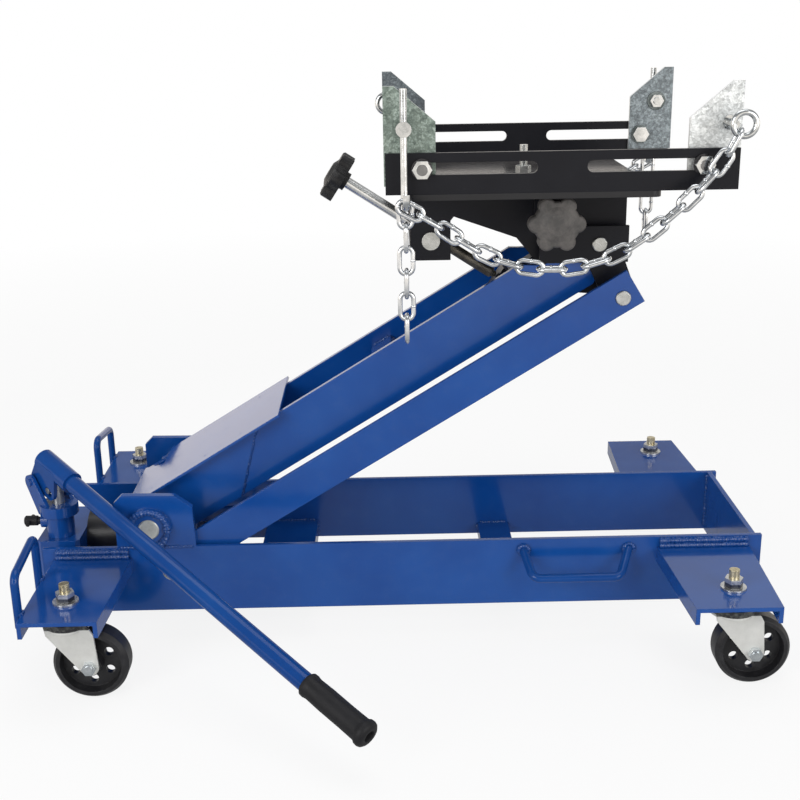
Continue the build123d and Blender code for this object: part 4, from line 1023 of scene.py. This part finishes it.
# name, place, aim, size and share of the power
LAMPS = (
    ("overhead", (0.1, 0.1, 2.6), (0.0, 0.0, 0.2), (2.2, 1.6), 0.34),
    ("front_left", (-1.9, -2.4, 1.3), (0.0, 0.0, 0.3), (1.4, 1.8), 0.66),
    ("front_right", (2.0, -2.2, 1.1), (0.1, 0.0, 0.3), (1.4, 1.6), 0.50),
    ("rear", (0.3, 2.4, 1.7), (0.0, 0.0, 0.3), (2.4, 0.9), 0.05),
)


def camera():
    """Camera at its place, turned by its yaw, pitch and roll."""
    flat = math.cos(CAMERA_PITCH)
    forward = Vector((math.sin(CAMERA_YAW) * flat, math.cos(CAMERA_YAW) * flat, -math.sin(CAMERA_PITCH)))
    level = Vector((math.cos(CAMERA_YAW), -math.sin(CAMERA_YAW), 0.0))
    upright = level.cross(forward)
    right = level * math.cos(CAMERA_ROLL) + upright * math.sin(CAMERA_ROLL)
    up = upright * math.cos(CAMERA_ROLL) - level * math.sin(CAMERA_ROLL)
    data = bpy.data.cameras.new("studio_camera")
    data.lens = LENS
    data.sensor_width = SENSOR
    data.clip_end = 100.0
    made = placed("studio_camera", data)
    turn = Matrix((right, up, -forward)).transposed().to_4x4()
    made.matrix_world = Matrix.Translation(CAMERA_AT) @ turn
    bpy.context.scene.camera = made


def lamp(name, at, aim, size, power):
    """White rectangular lamp that faces its aim."""
    data = bpy.data.lights.new(name, "AREA")
    data.shape = "RECTANGLE"
    data.size, data.size_y = size
    data.energy = power
    made = placed(name, data)
    made.location = at
    made.rotation_mode = "QUATERNION"
    made.rotation_quaternion = (Vector(aim) - Vector(at)).to_track_quat("-Z", "Y")


def kinds_of_ray(maker):
    """Three signals, each 1 for its rays: from the camera, through glass, off glossy surfaces."""
    path = maker.tree.nodes.new("ShaderNodeLightPath")
    return [Signal(maker, path.outputs[kind]) for kind in
            ("Is Camera Ray", "Is Transmission Ray", "Is Glossy Ray")]


def tinted(maker, share):
    """White that warms as the share goes to 1."""
    channels = [1.0 - (1.0 - channel) * share for channel in WARM[1:]]
    return maker.node("ShaderNodeCombineXYZ", {}, 1.0, *channels)


def floor_finish():
    """Pale matt floor that keeps the shadow, fades to the white background and is mirrored as a soft grey."""
    material = bpy.data.materials.new("studio_floor")
    material.use_nodes = True
    maker = Maker(material.node_tree)
    maker.tree.nodes.clear()
    seen, through, mirror = kinds_of_ray(maker)
    place = maker.node("ShaderNodeTexCoord", output="Object")
    away = maker.node("ShaderNodeVectorMath", {"operation": "LENGTH"}, place, output="Value")
    fade = maker.spread(away, *FLOOR_FADE)
    matt = maker.node("ShaderNodeBsdfPrincipled", output="BSDF")
    matt.socket.node.inputs["Base Color"].default_value = (0.86, 0.86, 0.86, 1.0)
    matt.socket.node.inputs["Roughness"].default_value = 0.9
    strength = seen + through + mirror * (FLOOR_MIRRORED + fade * (BAND - FLOOR_MIRRORED))
    glow = maker.node("ShaderNodeEmission", {}, tinted(maker, mirror * fade), strength)
    direct, glass, gloss = FLOOR_GLOW
    share = seen * (direct + (1.0 - direct) * fade) + through * glass + mirror * gloss
    both = maker.node("ShaderNodeMixShader", {}, share.clamped(), matt, glow)
    maker.end("ShaderNodeOutputMaterial", both)
    return material


def studio_world():
    """White for the camera and soft light on matt surfaces, mirrored as a bright low backdrop under a dimmer
    ceiling."""
    world = bpy.data.worlds.new("studio_world")
    bpy.context.scene.world = world
    world.use_nodes = True
    maker = Maker(world.node_tree)
    maker.tree.nodes.clear()
    seen, through, mirror = kinds_of_ray(maker)
    direction = maker.node("ShaderNodeTexCoord", output="Generated")
    height = maker.node("ShaderNodeSeparateXYZ", {}, direction, output=2)
    band = maker.spread(height, *BAND_EDGE)
    clear = (seen + through).clamped()
    strength = clear + (1.0 - clear) * (AMBIENT + mirror * (CEILING - AMBIENT + band * (BAND - CEILING)))
    back = maker.node("ShaderNodeBackground", {}, tinted(maker, mirror * band), strength)
    maker.end("ShaderNodeOutputWorld", back)


class JACK_OT_stage(bpy.types.Operator):
    """Sets the floor, lamps, world and camera"""

    bl_idname = "jack.stage"
    bl_label = "Studio"

    def execute(self, context):
        studio = context.scene.jack_studio
        half = studio.floor / 2
        mesh = bpy.data.meshes.new("studio_floor")
        corners = [(-half, -half, 0), (half, -half, 0), (half, half, 0), (-half, half, 0)]
        mesh.from_pydata(corners, [], [(0, 1, 2, 3)])
        floor = placed("studio_floor", mesh, floor_finish())
        studio_world()
        for name, at, aim, size, share in LAMPS:
            lamp(name, at, aim, size, studio.power * share)
        camera()
        context.scene.view_settings.view_transform = "Standard"
        return {"FINISHED"}


class JACK_PT_panel(bpy.types.Panel):
    bl_idname = "JACK_PT_panel"
    bl_label = "Transmission jack"
    bl_space_type = "VIEW_3D"
    bl_region_type = "UI"
    bl_category = "Jack"

    def draw(self, context):
        for group in GROUPS:
            settings = getattr(context.scene, group)
            for key in settings.__annotations__:
                self.layout.prop(settings, key)
        for step in STEPS:
            self.layout.operator(step.bl_idname)


GROUPS = {"jack_colours": JackColours, "jack_chain": JackChain, "jack_welds": JackWelds,
          "jack_washers": JackWashers, "jack_studio": JackStudio}
STEPS = [JACK_OT_finishes, JACK_OT_chains, JACK_OT_welds, JACK_OT_threads, JACK_OT_washers, JACK_OT_grip,
         JACK_OT_stage]


def register():
    for kind in [*GROUPS.values(), *STEPS, JACK_PT_panel]:
        bpy.utils.register_class(kind)
    for name, kind in GROUPS.items():
        setattr(bpy.types.Scene, name, bpy.props.PointerProperty(type=kind))


def unregister():
    for name in GROUPS:
        delattr(bpy.types.Scene, name)
    for kind in reversed([*GROUPS.values(), *STEPS, JACK_PT_panel]):
        bpy.utils.unregister_class(kind)


def main():
    register()
    for step in STEPS:
        family, name = step.bl_idname.split(".")
        getattr(getattr(bpy.ops, family), name)()


if __name__ == "__main__":
    main()
